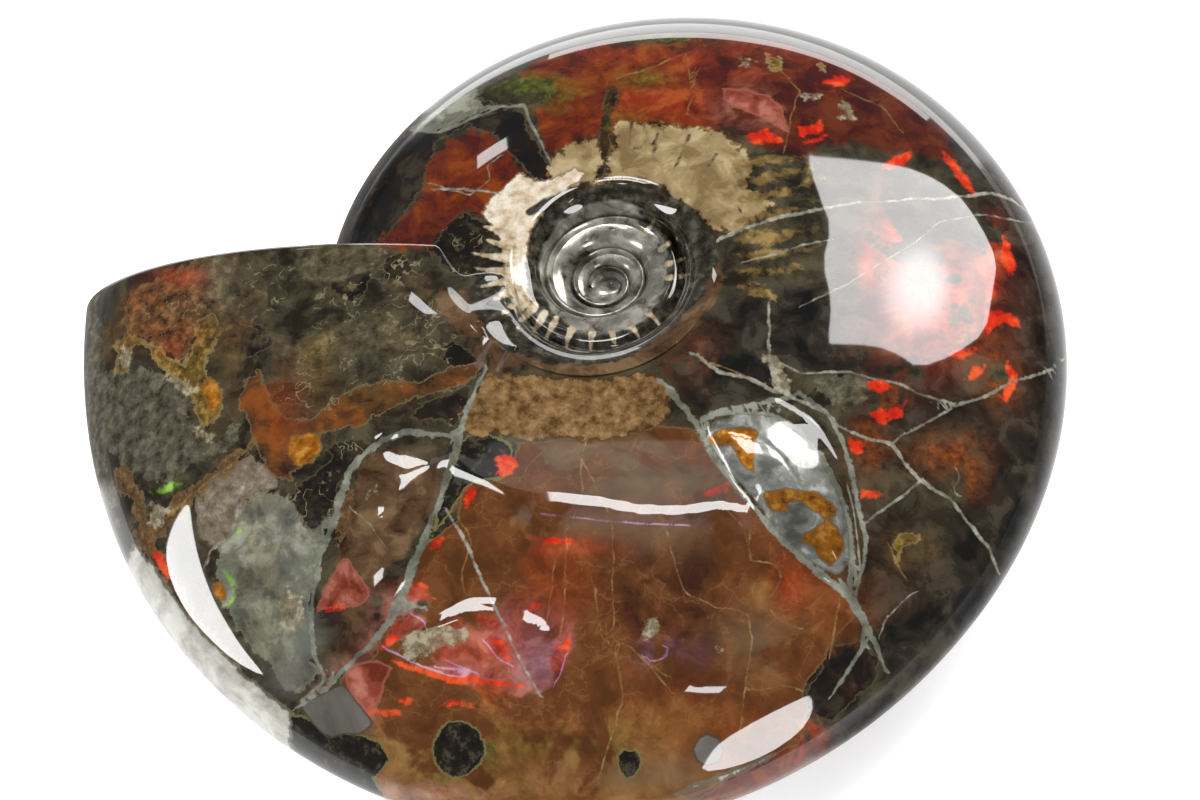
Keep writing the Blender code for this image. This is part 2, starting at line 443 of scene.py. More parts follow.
@dataclass
class Shell:
    """The fossil's body: one mesh, grown from its centre to its mouth.

    Rows count across its section: 0 is the seam, 1 the line of the next whorl's seam and 2 the venter.
    """

    growth: Growth
    resting: Resting
    camera: PhotoCamera
    fossil: Object = field(init=False)
    first_turn: int = -4
    steps_per_turn: int = 90
    covered_rows: int = 4
    open_rows: int = 11
    cuts: int = 2
    wall_share: float = 0.4
    lip_steps: int = 3
    lip_radius: float = 1.3
    lip_fade_rows: float = 0.2
    bend_from_turn: float = -1.3
    bend_fade_rows: float = 0.5
    fine_rows: Span = (1.02, 1.9)
    fine_from_turn: float = -0.995
    underside_relief: float = 0.4
    underside_turn: float = 0.18
    ground_level: float = 0.0
    smooth_angle: float = 35.0
    # The dome over the innermost edge: each step's narrowing and rise, its height in metres, its flattening
    centre_turns: float = 1.2
    dome_steps: tuple[Span, ...] = ((0.75, 0.45), (0.7, 0.3), (0.6, 0.18), (0.45, 0.07))
    dome_height: float = 0.0004
    dome_flatten: float = 0.6
    cap_row: float = -1.0
    # How close points have to be, in rows, turns, steps or metres, to count as in one place
    slope_rows: float = 0.01
    row_slack: float = 0.001
    venter_row: float = 1.9999
    seam_slack: float = 1e-5
    column_slack: float = 0.2
    middle_slack: float = 1e-6
    weld_reach: float = 4e-6
    mirror_reach: float = 1e-5
    fold_slant: float = 0.05
    fold_rim_fade: float = 4.0
    fold_wall_fade: float = 0.15
    folds: tuple[Fold, ...] = (
        Fold(-0.060, 0.45, 0.040, 0.25, -0.5),
        Fold(-0.560, 0.45, 0.050, 0.22, -0.5),
        Fold(-0.262, 0.40, 0.055, 0.16, -0.5),
    )
    swells: tuple[Swell | Ridge, ...] = (
        Swell(LEFT_LOBE, 0.45, 45.0),
        Swell(RIGHT_LOBE, 2.0, 75.0),
        Ridge(LOBE_CREST, 0.62, 50.0),
        Ridge(PETAL_CREST, 0.36, 10.0, 3.0),
        Ridge(SEAM_CREST, 0.3, 7.0, 3.0),
        Ridge(UPPER_CREST, 0.3, 14.0, 4.0),
    )

    def build(self) -> Object:
        """Grows and mirrors the whole fossil, and caps its centre and mouth.

        Returns:
            The finished mesh object, with its place in its mesh.
        """
        self.grow()
        self.settle()
        self.weld()
        self.close_centre()
        self.mirror()
        self.refine()
        self.settle()
        self.close_mouth()
        return self.fossil

    def seed(self) -> None:
        """Lays the section's first step as a mesh that knows the turn and the row of each point."""
        bpy.ops.object.select_all(action="DESELECT")
        size = self.growth.shoulder(np.array(float(self.first_turn))) * MM
        bpy.ops.mesh.primitive_grid_add(
            x_subdivisions=self.covered_rows, y_subdivisions=1, size=float(size), location=(-size, 0, 0)
        )
        self.fossil = bpy.context.object
        self.fossil.name = "polished_ammonite"
        across = np.zeros(len(self.fossil.data.vertices) * 3)
        self.fossil.data.vertices.foreach_get("co", across)
        across = across.reshape(-1, 3)
        low, high = across.min(axis=0), across.max(axis=0)
        ahead = (across[:, 1] - low[1]) / (high[1] - low[1])
        add_attribute(self.fossil.data, "row", (high[0] - across[:, 0]) / (high[0] - low[0]))
        add_attribute(self.fossil.data, "turn", self.first_turn + ahead / self.steps_per_turn)

    def grow(self) -> None:
        """Extrudes the section round the coil, a step at a time, turned and enlarged each time."""
        self.seed()
        step = 1 / self.steps_per_turn
        last_column = -self.first_turn * self.steps_per_turn
        widen_at = last_column - self.steps_per_turn
        enlarge = self.growth.whorl_growth**step
        bpy.ops.object.mode_set(mode="EDIT")
        bpy.ops.mesh.select_mode(type="VERT")
        self.select_column(self.first_turn + step)
        for column in range(1, last_column + self.lip_steps):
            turn = self.first_turn + column * step
            if column == widen_at:
                self.widen(turn)
            bpy.ops.mesh.extrude_region_move()
            bpy.ops.transform.rotate(value=TURN * step, orient_axis="Z", center_override=(0, 0, 0))
            bpy.ops.transform.resize(value=(enlarge,) * 3, center_override=(0, 0, 0))
            mark_selected(self.fossil, "turn", turn + step)
        bpy.ops.mesh.select_all(action="SELECT")
        bpy.ops.mesh.subdivide(number_cuts=self.cuts)
        bpy.ops.object.mode_set(mode="OBJECT")

    def select_column(self, turn: float, past_row: float = -1.0) -> None:
        """Selects the points of one growth step alone, in edit mode.

        Args:
            turn: The step's turn.
            past_row: The row that the points have to be past.
        """
        edit = bmesh.from_edit_mesh(self.fossil.data)
        turns, rows = edit.verts.layers.float["turn"], edit.verts.layers.float["row"]
        for vert in edit.verts:
            here = abs(vert[turns] - turn) < self.column_slack / self.steps_per_turn
            vert.select_set(here and vert[rows] > past_row)
        edit.select_flush(True)
        bmesh.update_edit_mesh(self.fossil.data)

    def widen(self, turn: float) -> None:
        """Extrudes the outer end of the section to the venter, for the turn that nothing covers.

        Args:
            turn: Where that turn starts.
        """
        self.select_column(turn, 1 - self.row_slack)
        stride = float(self.growth.venter(np.array(turn))) * MM / self.open_rows
        for row in range(1, self.open_rows + 1):
            bpy.ops.mesh.extrude_vertices_move(TRANSFORM_OT_translate={"value": (-stride, 0, 0)})
            mark_selected(self.fossil, "row", 1 + row / self.open_rows)
        self.select_column(turn)

    def fold_height(self, turn: Array, share: Array) -> Array:
        """How far the folds lift the flank.

        Args:
            turn: The turns.
            share: The shares of the way from shoulder to venter.

        Returns:
            The lift of each point, in mm.
        """
        total = np.zeros_like(share)
        for fold in self.folds:
            along = (turn - fold.turn + self.fold_slant * (share - fold.share)) / fold.turn_width
            across = (share - fold.share) / fold.share_width
            total = total + fold.height * np.exp(-(along**2 + across**2) / 2)
        total = np.where(turn < -1, 0.0, total)
        at_rim = np.minimum(1.0, self.fold_rim_fade * (1 - share))
        return total * at_rim * smoothstep(share / self.fold_wall_fade)

    def section(self, turn: Array, row: Array) -> tuple[Array, Array, Array]:
        """The shell's surface at a turn and a row of its section.

        Args:
            turn: The turns.
            row: The rows.

        Returns:
            Radius and height in mm, and how far the growth line is bent, in turns.
        """
        grow = self.growth
        shoulder, seam, cover = grow.shoulder(turn), grow.seam(turn), grow.seam(turn + 1)
        wall = np.clip(row / self.wall_share, 0, 1) * math.pi / 2
        foot, top = grow.seam_height(turn), grow.height(turn, np.zeros_like(turn))
        wall_radius = shoulder - (shoulder - seam) * np.cos(wall)
        wall_height = foot + (top - foot) * np.sin(wall)
        part = np.clip((row - self.wall_share) / (1 - self.wall_share), 0, 1)
        covered_share = grow.share(turn, shoulder + (cover - shoulder) * part)
        cover_share = np.clip(grow.share(turn, cover), 0, 1)
        first = np.arcsin(cover_share ** (grow.outward_power / 2))
        angle = first + (math.pi / 2 - first) * np.clip(row - 1, 0, 1)
        open_share = np.sin(angle) ** (2 / grow.outward_power)
        share = np.where(row <= 1, covered_share, open_share)
        radius = shoulder + (grow.venter(turn) - shoulder) * share
        height = grow.height(turn, share) + self.fold_height(turn, share)
        tube = smoothstep((grow.tube_turns[1] - turn) / (grow.tube_turns[1] - grow.tube_turns[0]))
        height = height + grow.tube_bulge * tube * np.sin(math.pi * part) * (row <= 1)
        height = np.where(row > self.venter_row, 0.0, height)
        on_wall = row <= self.wall_share
        radius = np.where(on_wall, wall_radius, radius)
        height = np.where(on_wall, wall_height, height)
        eased = smoothstep(part)
        inner = grow.bend(turn) * (1 - eased) + grow.under_mouth(turn) * eased
        outer = grow.under_mouth(turn) * (1 - smoothstep((row - 1) / self.bend_fade_rows))
        shift = np.where(row <= 1, inner, outer)
        return radius, height, np.where(turn > self.bend_from_turn, shift, 0.0)

    def places(self, turn: Array, row: Array, lift: Array | float = 0.0) -> Array:
        """Points of the upper side in the frame of the coil, in mm, with the mouth's rounded lip.

        Args:
            turn: The turns; those past 0 are the steps of the lip.
            row: The rows of the section.
            lift: How far each point is raised, in mm.

        Returns:
            The points, one to a row.
        """
        joined = (row < self.seam_slack) & (turn > self.first_turn + 1 - self.seam_slack)
        lip = np.clip(turn, 0, None) * self.steps_per_turn / self.lip_steps * math.pi / 2
        turn = np.minimum(turn, 0.0)
        turn = np.where(joined, turn - 1, turn)
        row = np.where(joined, 1.0, row)
        radius, height, shift = self.section(turn, row)
        near = self.section(turn, np.maximum(row - self.slope_rows, 0.0))
        far = self.section(turn, np.minimum(row + self.slope_rows, 2.0))
        across, up = far[0] - near[0], far[1] - near[1]
        length = np.hypot(across, up) + NEARLY_ZERO
        fade = smoothstep(row / self.lip_fade_rows) * np.where(joined, 0.0, 1.0)
        inward = self.lip_radius * (1 - np.cos(lip)) * fade
        ahead = self.lip_radius * np.sin(lip) * fade
        at_venter = row > self.venter_row
        radius = radius + np.where(at_venter, -1.0, up / length) * inward
        height = height - np.where(at_venter, 0.0, across / length) * inward
        height = height + np.where(at_venter, 0.0, lift)
        angle = math.pi - TURN * (turn + shift)
        place = np.stack([radius * np.cos(angle), radius * np.sin(angle), height], axis=1)
        return place + ahead[:, None] * np.stack([np.sin(angle), -np.cos(angle), 0 * angle], axis=1)

    def relief(self, turn: Array, row: Array) -> Array:
        """How far the swells drawn on the photograph lift the last turn's flank.

        Args:
            turn: The turns.
            row: The rows.

        Returns:
            The lift of each point, in mm.
        """
        points = self.camera.pixels(self.places(turn, row))
        total = np.zeros(len(points))
        for swell in self.swells:
            total = total + swell.lift(points)
        return np.where((turn > -1) & (row > self.wall_share), total, 0.0)

    def settle(self) -> None:
        """Moves every point of the even spiral onto the shell's own measured growth."""
        turn, row, place = read_points(self.fossil.data)
        grown = row > self.cap_row / 2
        below = place[:, 2] < -self.middle_slack
        lift = self.relief(turn[grown], row[grown])
        lift = np.where(below[grown], lift * self.underside_relief, lift)
        moved = self.places(turn[grown], row[grown], lift) * MM
        moved[:, 2] *= np.where(below[grown], -1, 1)
        place[grown] = moved
        self.fossil.data.vertices.foreach_set("co", place.ravel())

    def weld(self) -> None:
        """Joins each whorl to the one inside it along their seam."""
        bpy.context.view_layer.objects.active = self.fossil
        bpy.ops.object.mode_set(mode="EDIT")
        bpy.ops.mesh.select_all(action="SELECT")
        bpy.ops.mesh.remove_doubles(threshold=self.weld_reach)
        bpy.ops.object.mode_set(mode="OBJECT")

    def select_open_edges(self, reach: float) -> int:
        """Selects the open edges within a radius of the axis, in edit mode.

        Args:
            reach: The radius, in metres.

        Returns:
            How many edges are selected.
        """
        edit = bmesh.from_edit_mesh(self.fossil.data)
        count = 0
        for edge in edit.edges:
            middle = (edge.verts[0].co + edge.verts[1].co) / 2
            wanted = edge.is_boundary and middle.xy.length <= reach
            edge.select_set(wanted)
            count += wanted
        bmesh.update_edit_mesh(self.fossil.data)
        return count

    def close_centre(self) -> None:
        """Draws the innermost edge in to a small dome, the first chamber of the shell."""
        bpy.ops.object.mode_set(mode="EDIT")
        bpy.ops.mesh.select_all(action="DESELECT")
        bpy.ops.mesh.select_mode(type="EDGE")
        reach = float(self.growth.seam(np.array(self.first_turn + self.centre_turns))) * MM
        found = self.select_open_edges(reach)
        LOG.info("centre closed from %d edges", found)
        top = self.growth.centre_height * MM
        for narrowing, rise in self.dome_steps:
            bpy.ops.mesh.extrude_region_move()
            mark_selected(self.fossil, "row", self.cap_row)
            squeeze = (narrowing, narrowing, self.dome_flatten)
            bpy.ops.transform.resize(value=squeeze, center_override=(0, 0, top))
            bpy.ops.transform.translate(value=(0, 0, rise * self.dome_height))
        bpy.ops.mesh.merge(type="CENTER")
        bpy.ops.object.mode_set(mode="OBJECT")

    def mirror(self) -> None:
        """Makes the other side as the mirror image of this one, joined along the venter."""
        mirror = self.fossil.modifiers.new("other_side", "MIRROR")
        mirror.use_axis = (False, False, True)
        mirror.use_mirror_merge = True
        mirror.merge_threshold = self.mirror_reach
        bpy.context.view_layer.objects.active = self.fossil
        bpy.ops.object.modifier_apply(modifier=mirror.name)

    def refine(self) -> None:
        """Divides the faces of the upper flank once more, where the folds and markings are."""
        bpy.ops.object.mode_set(mode="EDIT")
        bpy.ops.mesh.select_mode(type="FACE")
        edit = bmesh.from_edit_mesh(self.fossil.data)
        turns, rows = edit.verts.layers.float["turn"], edit.verts.layers.float["row"]
        low, high = self.fine_rows
        for face in edit.faces:
            on_flank = all(low < vert[rows] < high and vert.co.z > 0 for vert in face.verts)
            face.select_set(on_flank and all(vert[turns] > self.fine_from_turn for vert in face.verts))
        bmesh.update_edit_mesh(self.fossil.data)
        bpy.ops.mesh.subdivide(number_cuts=1)
        bpy.ops.object.mode_set(mode="OBJECT")

    def close_mouth(self) -> None:
        """Fills the face of the mouth and turns all faces outwards."""
        bpy.ops.object.mode_set(mode="EDIT")
        bpy.ops.mesh.select_all(action="DESELECT")
        bpy.ops.mesh.select_mode(type="EDGE")
        found = self.select_open_edges(math.inf)
        LOG.info("mouth closed from %d edges", found)
        bpy.ops.mesh.fill(use_beauty=True)
        bpy.ops.mesh.select_all(action="SELECT")
        bpy.ops.mesh.normals_make_consistent(inside=False)
        bpy.ops.object.mode_set(mode="OBJECT")

    def lay_down(self) -> None:
        """Leans the fossil as it rests and grinds the small flats that it rests on."""
        self.fossil.matrix_world = self.resting.matrix()
        bpy.ops.object.select_all(action="DESELECT")
        self.fossil.select_set(True)
        bpy.context.view_layer.objects.active = self.fossil
        bpy.ops.object.transform_apply(location=True, rotation=True, scale=True)
        bpy.ops.object.mode_set(mode="EDIT")
        bpy.ops.mesh.select_all(action="SELECT")
        bpy.ops.mesh.bisect(
            plane_co=(0, 0, self.ground_level), plane_no=(0, 0, 1), use_fill=True, clear_inner=True
        )
        bpy.ops.object.mode_set(mode="OBJECT")
        bpy.ops.object.shade_smooth_by_angle(angle=math.radians(self.smooth_angle))


class Mark(Enum):
    """The kinds of marking on the polished flank, each one a mesh attribute of its own."""

    OLIVE = "olive_stone"
    GREY = "grey_stone"
    BLACK = "black_stone"
    RIM = "dark_rim"
    MAROON = "maroon_shell"
    ORANGE = "orange_shell"
    AMBER = "amber_shell"
    TAN = "tan_shell"
    CREAM = "cream_shell"
    STREAK = "streaked_shell"
    PANEL = "mauve_panel"
    OCHRE = "ochre_band"
    HONEY = "honey_spar"
    PIT = "dark_pits"
    # Rose shell, and a painted pink reflection at the upper right
    ROSE_AND_SHEEN = "rose_leaf_and_sheen"
    TOOTH = "comb_teeth"
    # Pearl shell, partly a painted highlight on the inner shoulder
    PEARL_AND_GLARE = "pearl_shell_and_glare"
    BROWN = "brown_shell"
    RUST = "rust_stain"
    GOLD = "gold_shell"
    SILVER = "silver_spar"
    FIRE = "red_fire"
    LIME = "green_fire"
    PALE = "pale_speck"
    # Pale nacre of the venter, and a painted reflection along the bottom rim
    NACRE_AND_REFLECTION = "venter_nacre_and_reflection"
    FERN = "fern_sutures"
    INNER = "inner_whorls"
    GAP = "comb_gaps"
    # Grey spar of the inner coil, with painted highlights
    COIL_AND_GLINTS = "inner_coil_and_glints"
    DISC = "grey_disc"
    FACET = "red_facets"
    EDGE = "dull_edge"


# Where the marks lie, as closed outlines in the photograph's pixels
DARK_HOLLOW: Corners = (
    (462, 440), (480, 434), (500, 437), (512, 446), (513, 470), (500, 479), (472, 482), (462, 494),
    (452, 506), (446, 520), (434, 531), (428, 546), (438, 505), (448, 480), (456, 458),
)
OUTLINES: dict[Mark, tuple[Corners, ...]] = {
    Mark.OLIVE: (
        ((78, 300), (96, 296), (104, 350), (100, 420), (108, 470), (122, 520), (112, 545), (90, 490),
         (76, 400)),
        ((816, 376), (850, 374), (874, 382), (868, 400), (850, 412), (828, 402), (816, 392)),
        ((86, 345), (96, 362), (118, 372), (140, 368), (165, 376), (190, 395), (188, 415), (196, 436),
         (215, 440), (235, 425), (240, 440), (222, 452), (200, 462), (180, 474), (162, 482), (146, 480),
         (132, 468), (118, 460), (106, 448), (97, 420), (84, 380)),
    ),
    Mark.GREY: (
        ((246, 498), (262, 492), (290, 498), (310, 510), (330, 518), (324, 545), (316, 565), (312, 590),
         (308, 615), (310, 640), (312, 660), (320, 672), (312, 684), (298, 694), (284, 686), (272, 668),
         (258, 652), (238, 632), (226, 608), (218, 584), (216, 566), (222, 548), (234, 530), (242, 512)),
        ((410, 128), (440, 108), (462, 94), (476, 90), (482, 104), (500, 107), (470, 117), (445, 128),
         (420, 136)),
    ),
    Mark.OCHRE: (
        ((240, 398), (246, 380), (258, 368), (263, 385), (268, 400), (280, 415), (296, 422), (315, 418),
         (335, 402), (355, 388), (380, 382), (404, 384), (424, 378), (446, 370), (484, 360), (476, 375),
         (450, 388), (430, 396), (405, 402), (385, 412), (350, 426), (318, 432), (321, 448), (316, 461),
         (300, 467), (290, 479), (276, 477), (266, 466), (258, 450), (255, 436), (246, 420)),
    ),
    Mark.HONEY: (
        ((292, 437), (316, 432), (321, 448), (311, 464), (296, 466), (288, 452)),
        ((732, 447), (756, 446), (753, 472), (742, 464)),
        ((762, 494), (780, 489), (815, 492), (832, 502), (840, 514), (828, 519), (800, 500), (786, 503),
         (790, 513), (770, 510)),
        ((794, 538), (815, 529), (828, 520), (842, 532), (845, 550), (830, 566), (818, 557), (812, 546),
         (800, 543)),
        ((706, 440), (722, 430), (745, 427), (758, 428), (756, 441), (735, 444), (715, 447)),
        ((218, 578), (226, 590), (224, 602), (214, 592)),
        ((206, 372), (218, 386), (222, 402), (212, 414), (204, 400), (202, 384)),
    ),
    Mark.PIT: (
        ((290, 712), (305, 718), (320, 726), (344, 734), (366, 736), (382, 746), (390, 760), (374, 778),
         (384, 800), (384, 830), (300, 800), (276, 752)),
        ((434, 742), (440, 728), (452, 720), (468, 722), (480, 732), (485, 748), (482, 764), (470, 774),
         (454, 777), (440, 770), (433, 758)),
        ((617, 752), (624, 748), (636, 750), (641, 762), (638, 774), (626, 778), (618, 768)), DARK_HOLLOW,
    ),
    Mark.DISC: (
        ((300, 704), (322, 694), (342, 684), (352, 696), (366, 714), (374, 724), (360, 734), (344, 733),
         (330, 738), (318, 730), (308, 716)),
        ((692, 750), (697, 739), (708, 734), (719, 739), (724, 750), (719, 762), (708, 766), (697, 761)),
    ),
    Mark.FACET: (
        ((469, 611), (498, 618), (502, 627), (493, 633), (484, 627), (471, 616)),
        ((493, 633), (507, 644), (502, 658), (489, 653), (484, 642)),
        ((551, 649), (569, 638), (567, 656), (560, 676), (556, 684), (551, 667)),
        ((407, 582), (418, 584), (433, 598), (427, 600), (411, 598), (406, 589)),
        ((396, 622), (404, 618), (413, 613), (411, 620), (398, 632), (386, 646), (384, 640)),
    ),
    Mark.PANEL: (
        ((196, 494), (213, 476), (232, 462), (252, 456), (268, 468), (278, 484), (262, 496), (246, 498),
         (240, 520), (231, 536), (214, 544), (203, 536), (197, 515)),
    ),
    Mark.ROSE_AND_SHEEN: (
        # The first outline, at the upper right, is a painted reflection: the dim pink sheen of a light on the
        # flank. The others are rose shell.
        ((722, 88), (745, 90), (768, 96), (780, 106), (788, 131), (770, 121), (740, 108), (724, 98)),
        ((345, 680), (352, 668), (362, 661), (378, 660), (393, 667), (384, 682), (379, 702), (370, 712),
         (358, 700)),
        ((413, 613), (427, 620), (424, 629), (411, 633), (384, 647), (393, 632), (404, 620)),
        ((480, 671), (493, 667), (507, 662), (513, 676), (502, 680), (484, 681)),
        ((430, 668), (452, 660), (478, 660), (470, 674), (450, 674)),
        ((345, 556), (360, 578), (370, 592), (362, 606), (330, 608), (314, 611), (326, 592), (335, 572)),
    ),
    Mark.BLACK: (
        ((332, 268), (352, 260), (372, 272), (368, 294), (348, 302), (330, 290)),
        ((262, 386), (285, 379), (312, 388), (300, 403), (272, 404)),
        ((236, 330), (262, 320), (272, 344), (252, 362), (236, 350)),
        ((384, 258), (404, 254), (412, 272), (400, 292), (386, 284)),
        ((286, 716), (298, 712), (312, 730), (330, 746), (352, 754), (374, 764), (384, 780), (392, 800),
         (400, 834), (350, 820), (300, 785), (262, 760)),
        ((290, 498), (300, 485), (318, 470), (332, 456), (318, 446), (345, 440), (376, 446), (356, 462),
         (342, 478), (336, 500), (326, 518), (316, 535), (306, 525), (298, 508)),
        ((293, 708), (302, 711), (322, 733), (344, 737), (360, 731), (376, 736), (386, 752), (372, 759),
         (356, 753), (340, 749), (322, 743), (304, 726)),
        ((340, 246), (346, 215), (360, 182), (380, 155), (400, 136), (420, 130), (440, 133), (434, 150),
         (428, 165), (424, 180), (414, 200), (400, 218), (388, 236), (376, 246)),
        ((436, 134), (470, 117), (500, 108), (523, 108), (530, 132), (545, 156), (554, 172), (554, 186),
         (540, 184), (520, 166), (505, 147), (490, 131), (470, 126), (450, 135)),
        ((476, 100), (486, 84), (520, 74), (545, 90), (555, 98), (530, 104), (500, 104)),
        ((604, 92), (608, 84), (618, 86), (618, 100), (613, 130), (609, 152), (604, 172), (598, 184),
         (592, 184), (595, 165), (597, 140), (601, 112)),
        ((446, 224), (464, 212), (482, 219), (500, 229), (516, 234), (500, 240), (512, 249), (505, 256),
         (480, 270), (455, 276), (440, 262), (430, 248)),
        ((438, 398), (470, 389), (466, 408), (458, 424), (434, 421), (410, 418), (420, 404)), DARK_HOLLOW,
        ((812, 700), (806, 690), (822, 668), (820, 655), (835, 642), (860, 640), (880, 660), (872, 685),
         (850, 704), (830, 722), (815, 715)),
        ((452, 338), (470, 352), (488, 366), (478, 378), (455, 372), (440, 356)),
    ),
    Mark.RIM: (
        ((905, 150), (950, 150), (975, 190), (985, 225), (1000, 232), (1000, 300), (1005, 330), (1022, 372),
         (1004, 405), (985, 430), (990, 470), (980, 500), (940, 510), (900, 520), (862, 520), (862, 585),
         (880, 640), (890, 690), (850, 722), (830, 760), (900, 800), (1100, 600), (1120, 380), (1090, 200),
         (1000, 100), (960, 118), (950, 135)),
        ((678, 345), (700, 322), (722, 300), (745, 292), (780, 288), (830, 285), (836, 345), (905, 366),
         (950, 360), (965, 380), (940, 400), (900, 390), (860, 372), (800, 374), (790, 360), (778, 395),
         (745, 402), (712, 410), (695, 414), (684, 398), (672, 380), (660, 366)),
        ((885, 380), (950, 402), (985, 398), (1000, 420), (940, 425), (905, 438), (880, 432), (862, 418),
         (900, 414)),
    ),
    Mark.MAROON: (
        ((698, 30), (735, 22), (775, 28), (830, 50), (870, 72), (912, 100), (948, 132), (955, 158),
         (930, 160), (900, 150), (880, 148), (850, 142), (820, 146), (800, 160), (775, 150), (745, 135),
         (720, 125), (700, 110), (690, 80)),
    ),
    Mark.ORANGE: (
        ((520, 78), (530, 62), (560, 50), (600, 38), (650, 46), (700, 40), (698, 80), (705, 112),
         (735, 132), (690, 130), (670, 124), (625, 124), (612, 136), (614, 110), (622, 90), (612, 82),
         (604, 100), (598, 140), (575, 140), (555, 150), (548, 160), (540, 130), (536, 112), (550, 98),
         (560, 86), (545, 80)),
        ((374, 246), (388, 232), (402, 220), (420, 198), (428, 184), (425, 174), (433, 158), (446, 141),
         (470, 131), (490, 135), (506, 150), (518, 162), (526, 172), (510, 184), (498, 202), (480, 218),
         (464, 210), (450, 222), (438, 236), (430, 250), (408, 250)),
        ((376, 770), (386, 742), (372, 716), (380, 700), (400, 712), (430, 706), (455, 704), (500, 690),
         (560, 700), (620, 735), (700, 760), (810, 740), (800, 765), (700, 830), (560, 850), (440, 835),
         (390, 800)),
    ),
    Mark.AMBER: (
        ((514, 446), (560, 438), (620, 434), (660, 426), (692, 430), (706, 450), (734, 488), (775, 534),
         (812, 568), (850, 604), (854, 620), (830, 642), (826, 656), (815, 672), (800, 692), (808, 704),
         (800, 742), (740, 770), (700, 800), (600, 830), (500, 830), (420, 812), (388, 792), (386, 752),
         (386, 738), (370, 714), (345, 690), (340, 679), (356, 666), (376, 655), (386, 620), (420, 615),
         (434, 602), (414, 592), (408, 575), (424, 545), (444, 531), (458, 520), (462, 492), (470, 481),
         (492, 482), (515, 470)),
    ),
    Mark.TAN: (
        ((490, 368), (520, 376), (560, 379), (610, 380), (650, 371), (662, 376), (671, 398), (672, 412),
         (656, 426), (640, 433), (600, 440), (560, 438), (540, 441), (515, 436), (498, 430), (480, 436),
         (464, 428), (462, 415), (474, 396), (484, 376)),
    ),
    Mark.CREAM: (
        ((548, 174), (552, 160), (575, 142), (598, 138), (600, 150), (597, 178), (606, 178), (612, 150),
         (618, 124), (650, 122), (690, 129), (722, 131), (738, 148), (752, 165), (748, 178), (752, 192),
         (772, 204), (755, 218), (735, 234), (716, 230), (704, 224), (690, 206), (655, 183), (620, 178),
         (590, 182), (560, 190)),
    ),
    Mark.PEARL_AND_GLARE: (
        # Pale pearl shell round the comb; its strip down the inner shoulder, about x 500 to 534, is also a
        # painted highlight, the glare of the left light there
        ((482, 213), (490, 202), (506, 186), (520, 172), (532, 178), (545, 182), (556, 178), (576, 168),
         (588, 174), (568, 188), (548, 204), (536, 222), (528, 240), (525, 262), (528, 290), (534, 304),
         (522, 312), (510, 296), (504, 275), (503, 250), (500, 234), (490, 222)),
    ),
    Mark.BROWN: (
        ((352, 580), (363, 590), (367, 625), (356, 641), (346, 650), (334, 667), (333, 655), (344, 636)),
        ((430, 278), (444, 286), (460, 300), (474, 322), (488, 345), (506, 368), (518, 382), (498, 378),
         (478, 364), (460, 344), (446, 322), (436, 300)),
        ((362, 462), (384, 448), (402, 450), (425, 462), (438, 474), (434, 492), (426, 515), (414, 540),
         (402, 562), (392, 560), (380, 577), (362, 594), (352, 602), (338, 608), (314, 611), (318, 598),
         (327, 585), (336, 565), (341, 545), (350, 520), (353, 500), (356, 480)),
        ((640, 352), (668, 330), (700, 300), (712, 270), (722, 262), (728, 275), (716, 305), (690, 335),
         (662, 356), (630, 370), (605, 375), (560, 375), (515, 368), (490, 350), (470, 322), (458, 290),
         (468, 292), (480, 318), (500, 345), (530, 360), (580, 366), (620, 362)),
    ),
    Mark.RUST: (
        ((122, 320), (128, 298), (145, 285), (165, 275), (190, 264), (212, 255), (212, 270), (208, 280),
         (218, 292), (222, 302), (218, 312), (205, 320), (198, 335), (190, 352), (178, 362), (165, 352),
         (150, 340), (135, 335)),
        ((340, 500), (357, 489), (359, 510), (349, 530), (346, 548), (336, 545), (334, 528)),
        ((140, 520), (152, 545), (168, 562), (178, 585), (192, 608), (208, 628), (224, 645), (244, 662),
         (234, 668), (212, 650), (194, 630), (178, 608), (164, 584), (148, 560), (134, 536)),
        ((112, 470), (128, 470), (138, 486), (144, 502), (132, 502), (118, 490)),
        ((180, 502), (196, 488), (215, 470), (240, 450), (254, 442), (248, 456), (228, 470), (210, 486),
         (192, 502), (174, 522), (160, 540), (148, 540), (160, 518)),
    ),
    Mark.GOLD: (
        ((196, 322), (214, 312), (221, 330), (214, 345), (204, 356), (206, 372), (218, 388), (223, 402),
         (214, 422), (206, 430), (197, 416), (193, 396), (180, 382), (160, 366), (148, 352), (140, 344),
         (126, 352), (124, 364), (132, 372), (118, 372), (114, 356), (118, 341), (130, 335), (150, 342),
         (168, 357), (184, 364), (192, 350)),
        ((894, 541), (902, 534), (918, 536), (912, 543), (902, 547), (898, 560)),
        ((768, 55), (780, 58), (782, 68), (772, 70)), ((818, 62), (828, 66), (826, 72), (818, 70)),
    ),
    Mark.SILVER: (
        ((704, 438), (714, 424), (740, 413), (772, 416), (797, 432), (814, 450), (830, 475), (844, 505),
         (850, 535), (850, 560), (838, 574), (820, 568), (800, 553), (782, 537), (764, 513), (745, 487),
         (722, 461)),
    ),
    Mark.FIRE: (
        ((490, 462), (500, 455), (514, 455), (517, 466), (508, 475), (492, 478), (500, 468)),
        ((465, 490), (477, 484), (475, 500), (465, 508)), ((427, 543), (446, 534), (440, 551), (428, 554)),
        ((699, 493), (720, 484), (732, 481), (725, 495), (705, 498)),
        ((868, 382), (882, 379), (892, 388), (880, 395), (870, 391)),
        ((870, 413), (890, 408), (906, 399), (902, 416), (884, 423), (872, 421)),
        ((849, 440), (864, 440), (864, 453), (851, 453)), ((861, 491), (881, 492), (879, 499), (861, 499)),
        ((820, 83), (835, 75), (858, 80), (838, 86)), ((742, 137), (765, 129), (783, 141), (758, 143)),
        ((798, 127), (823, 121), (820, 133), (801, 137)), ((803, 143), (828, 133), (822, 143)),
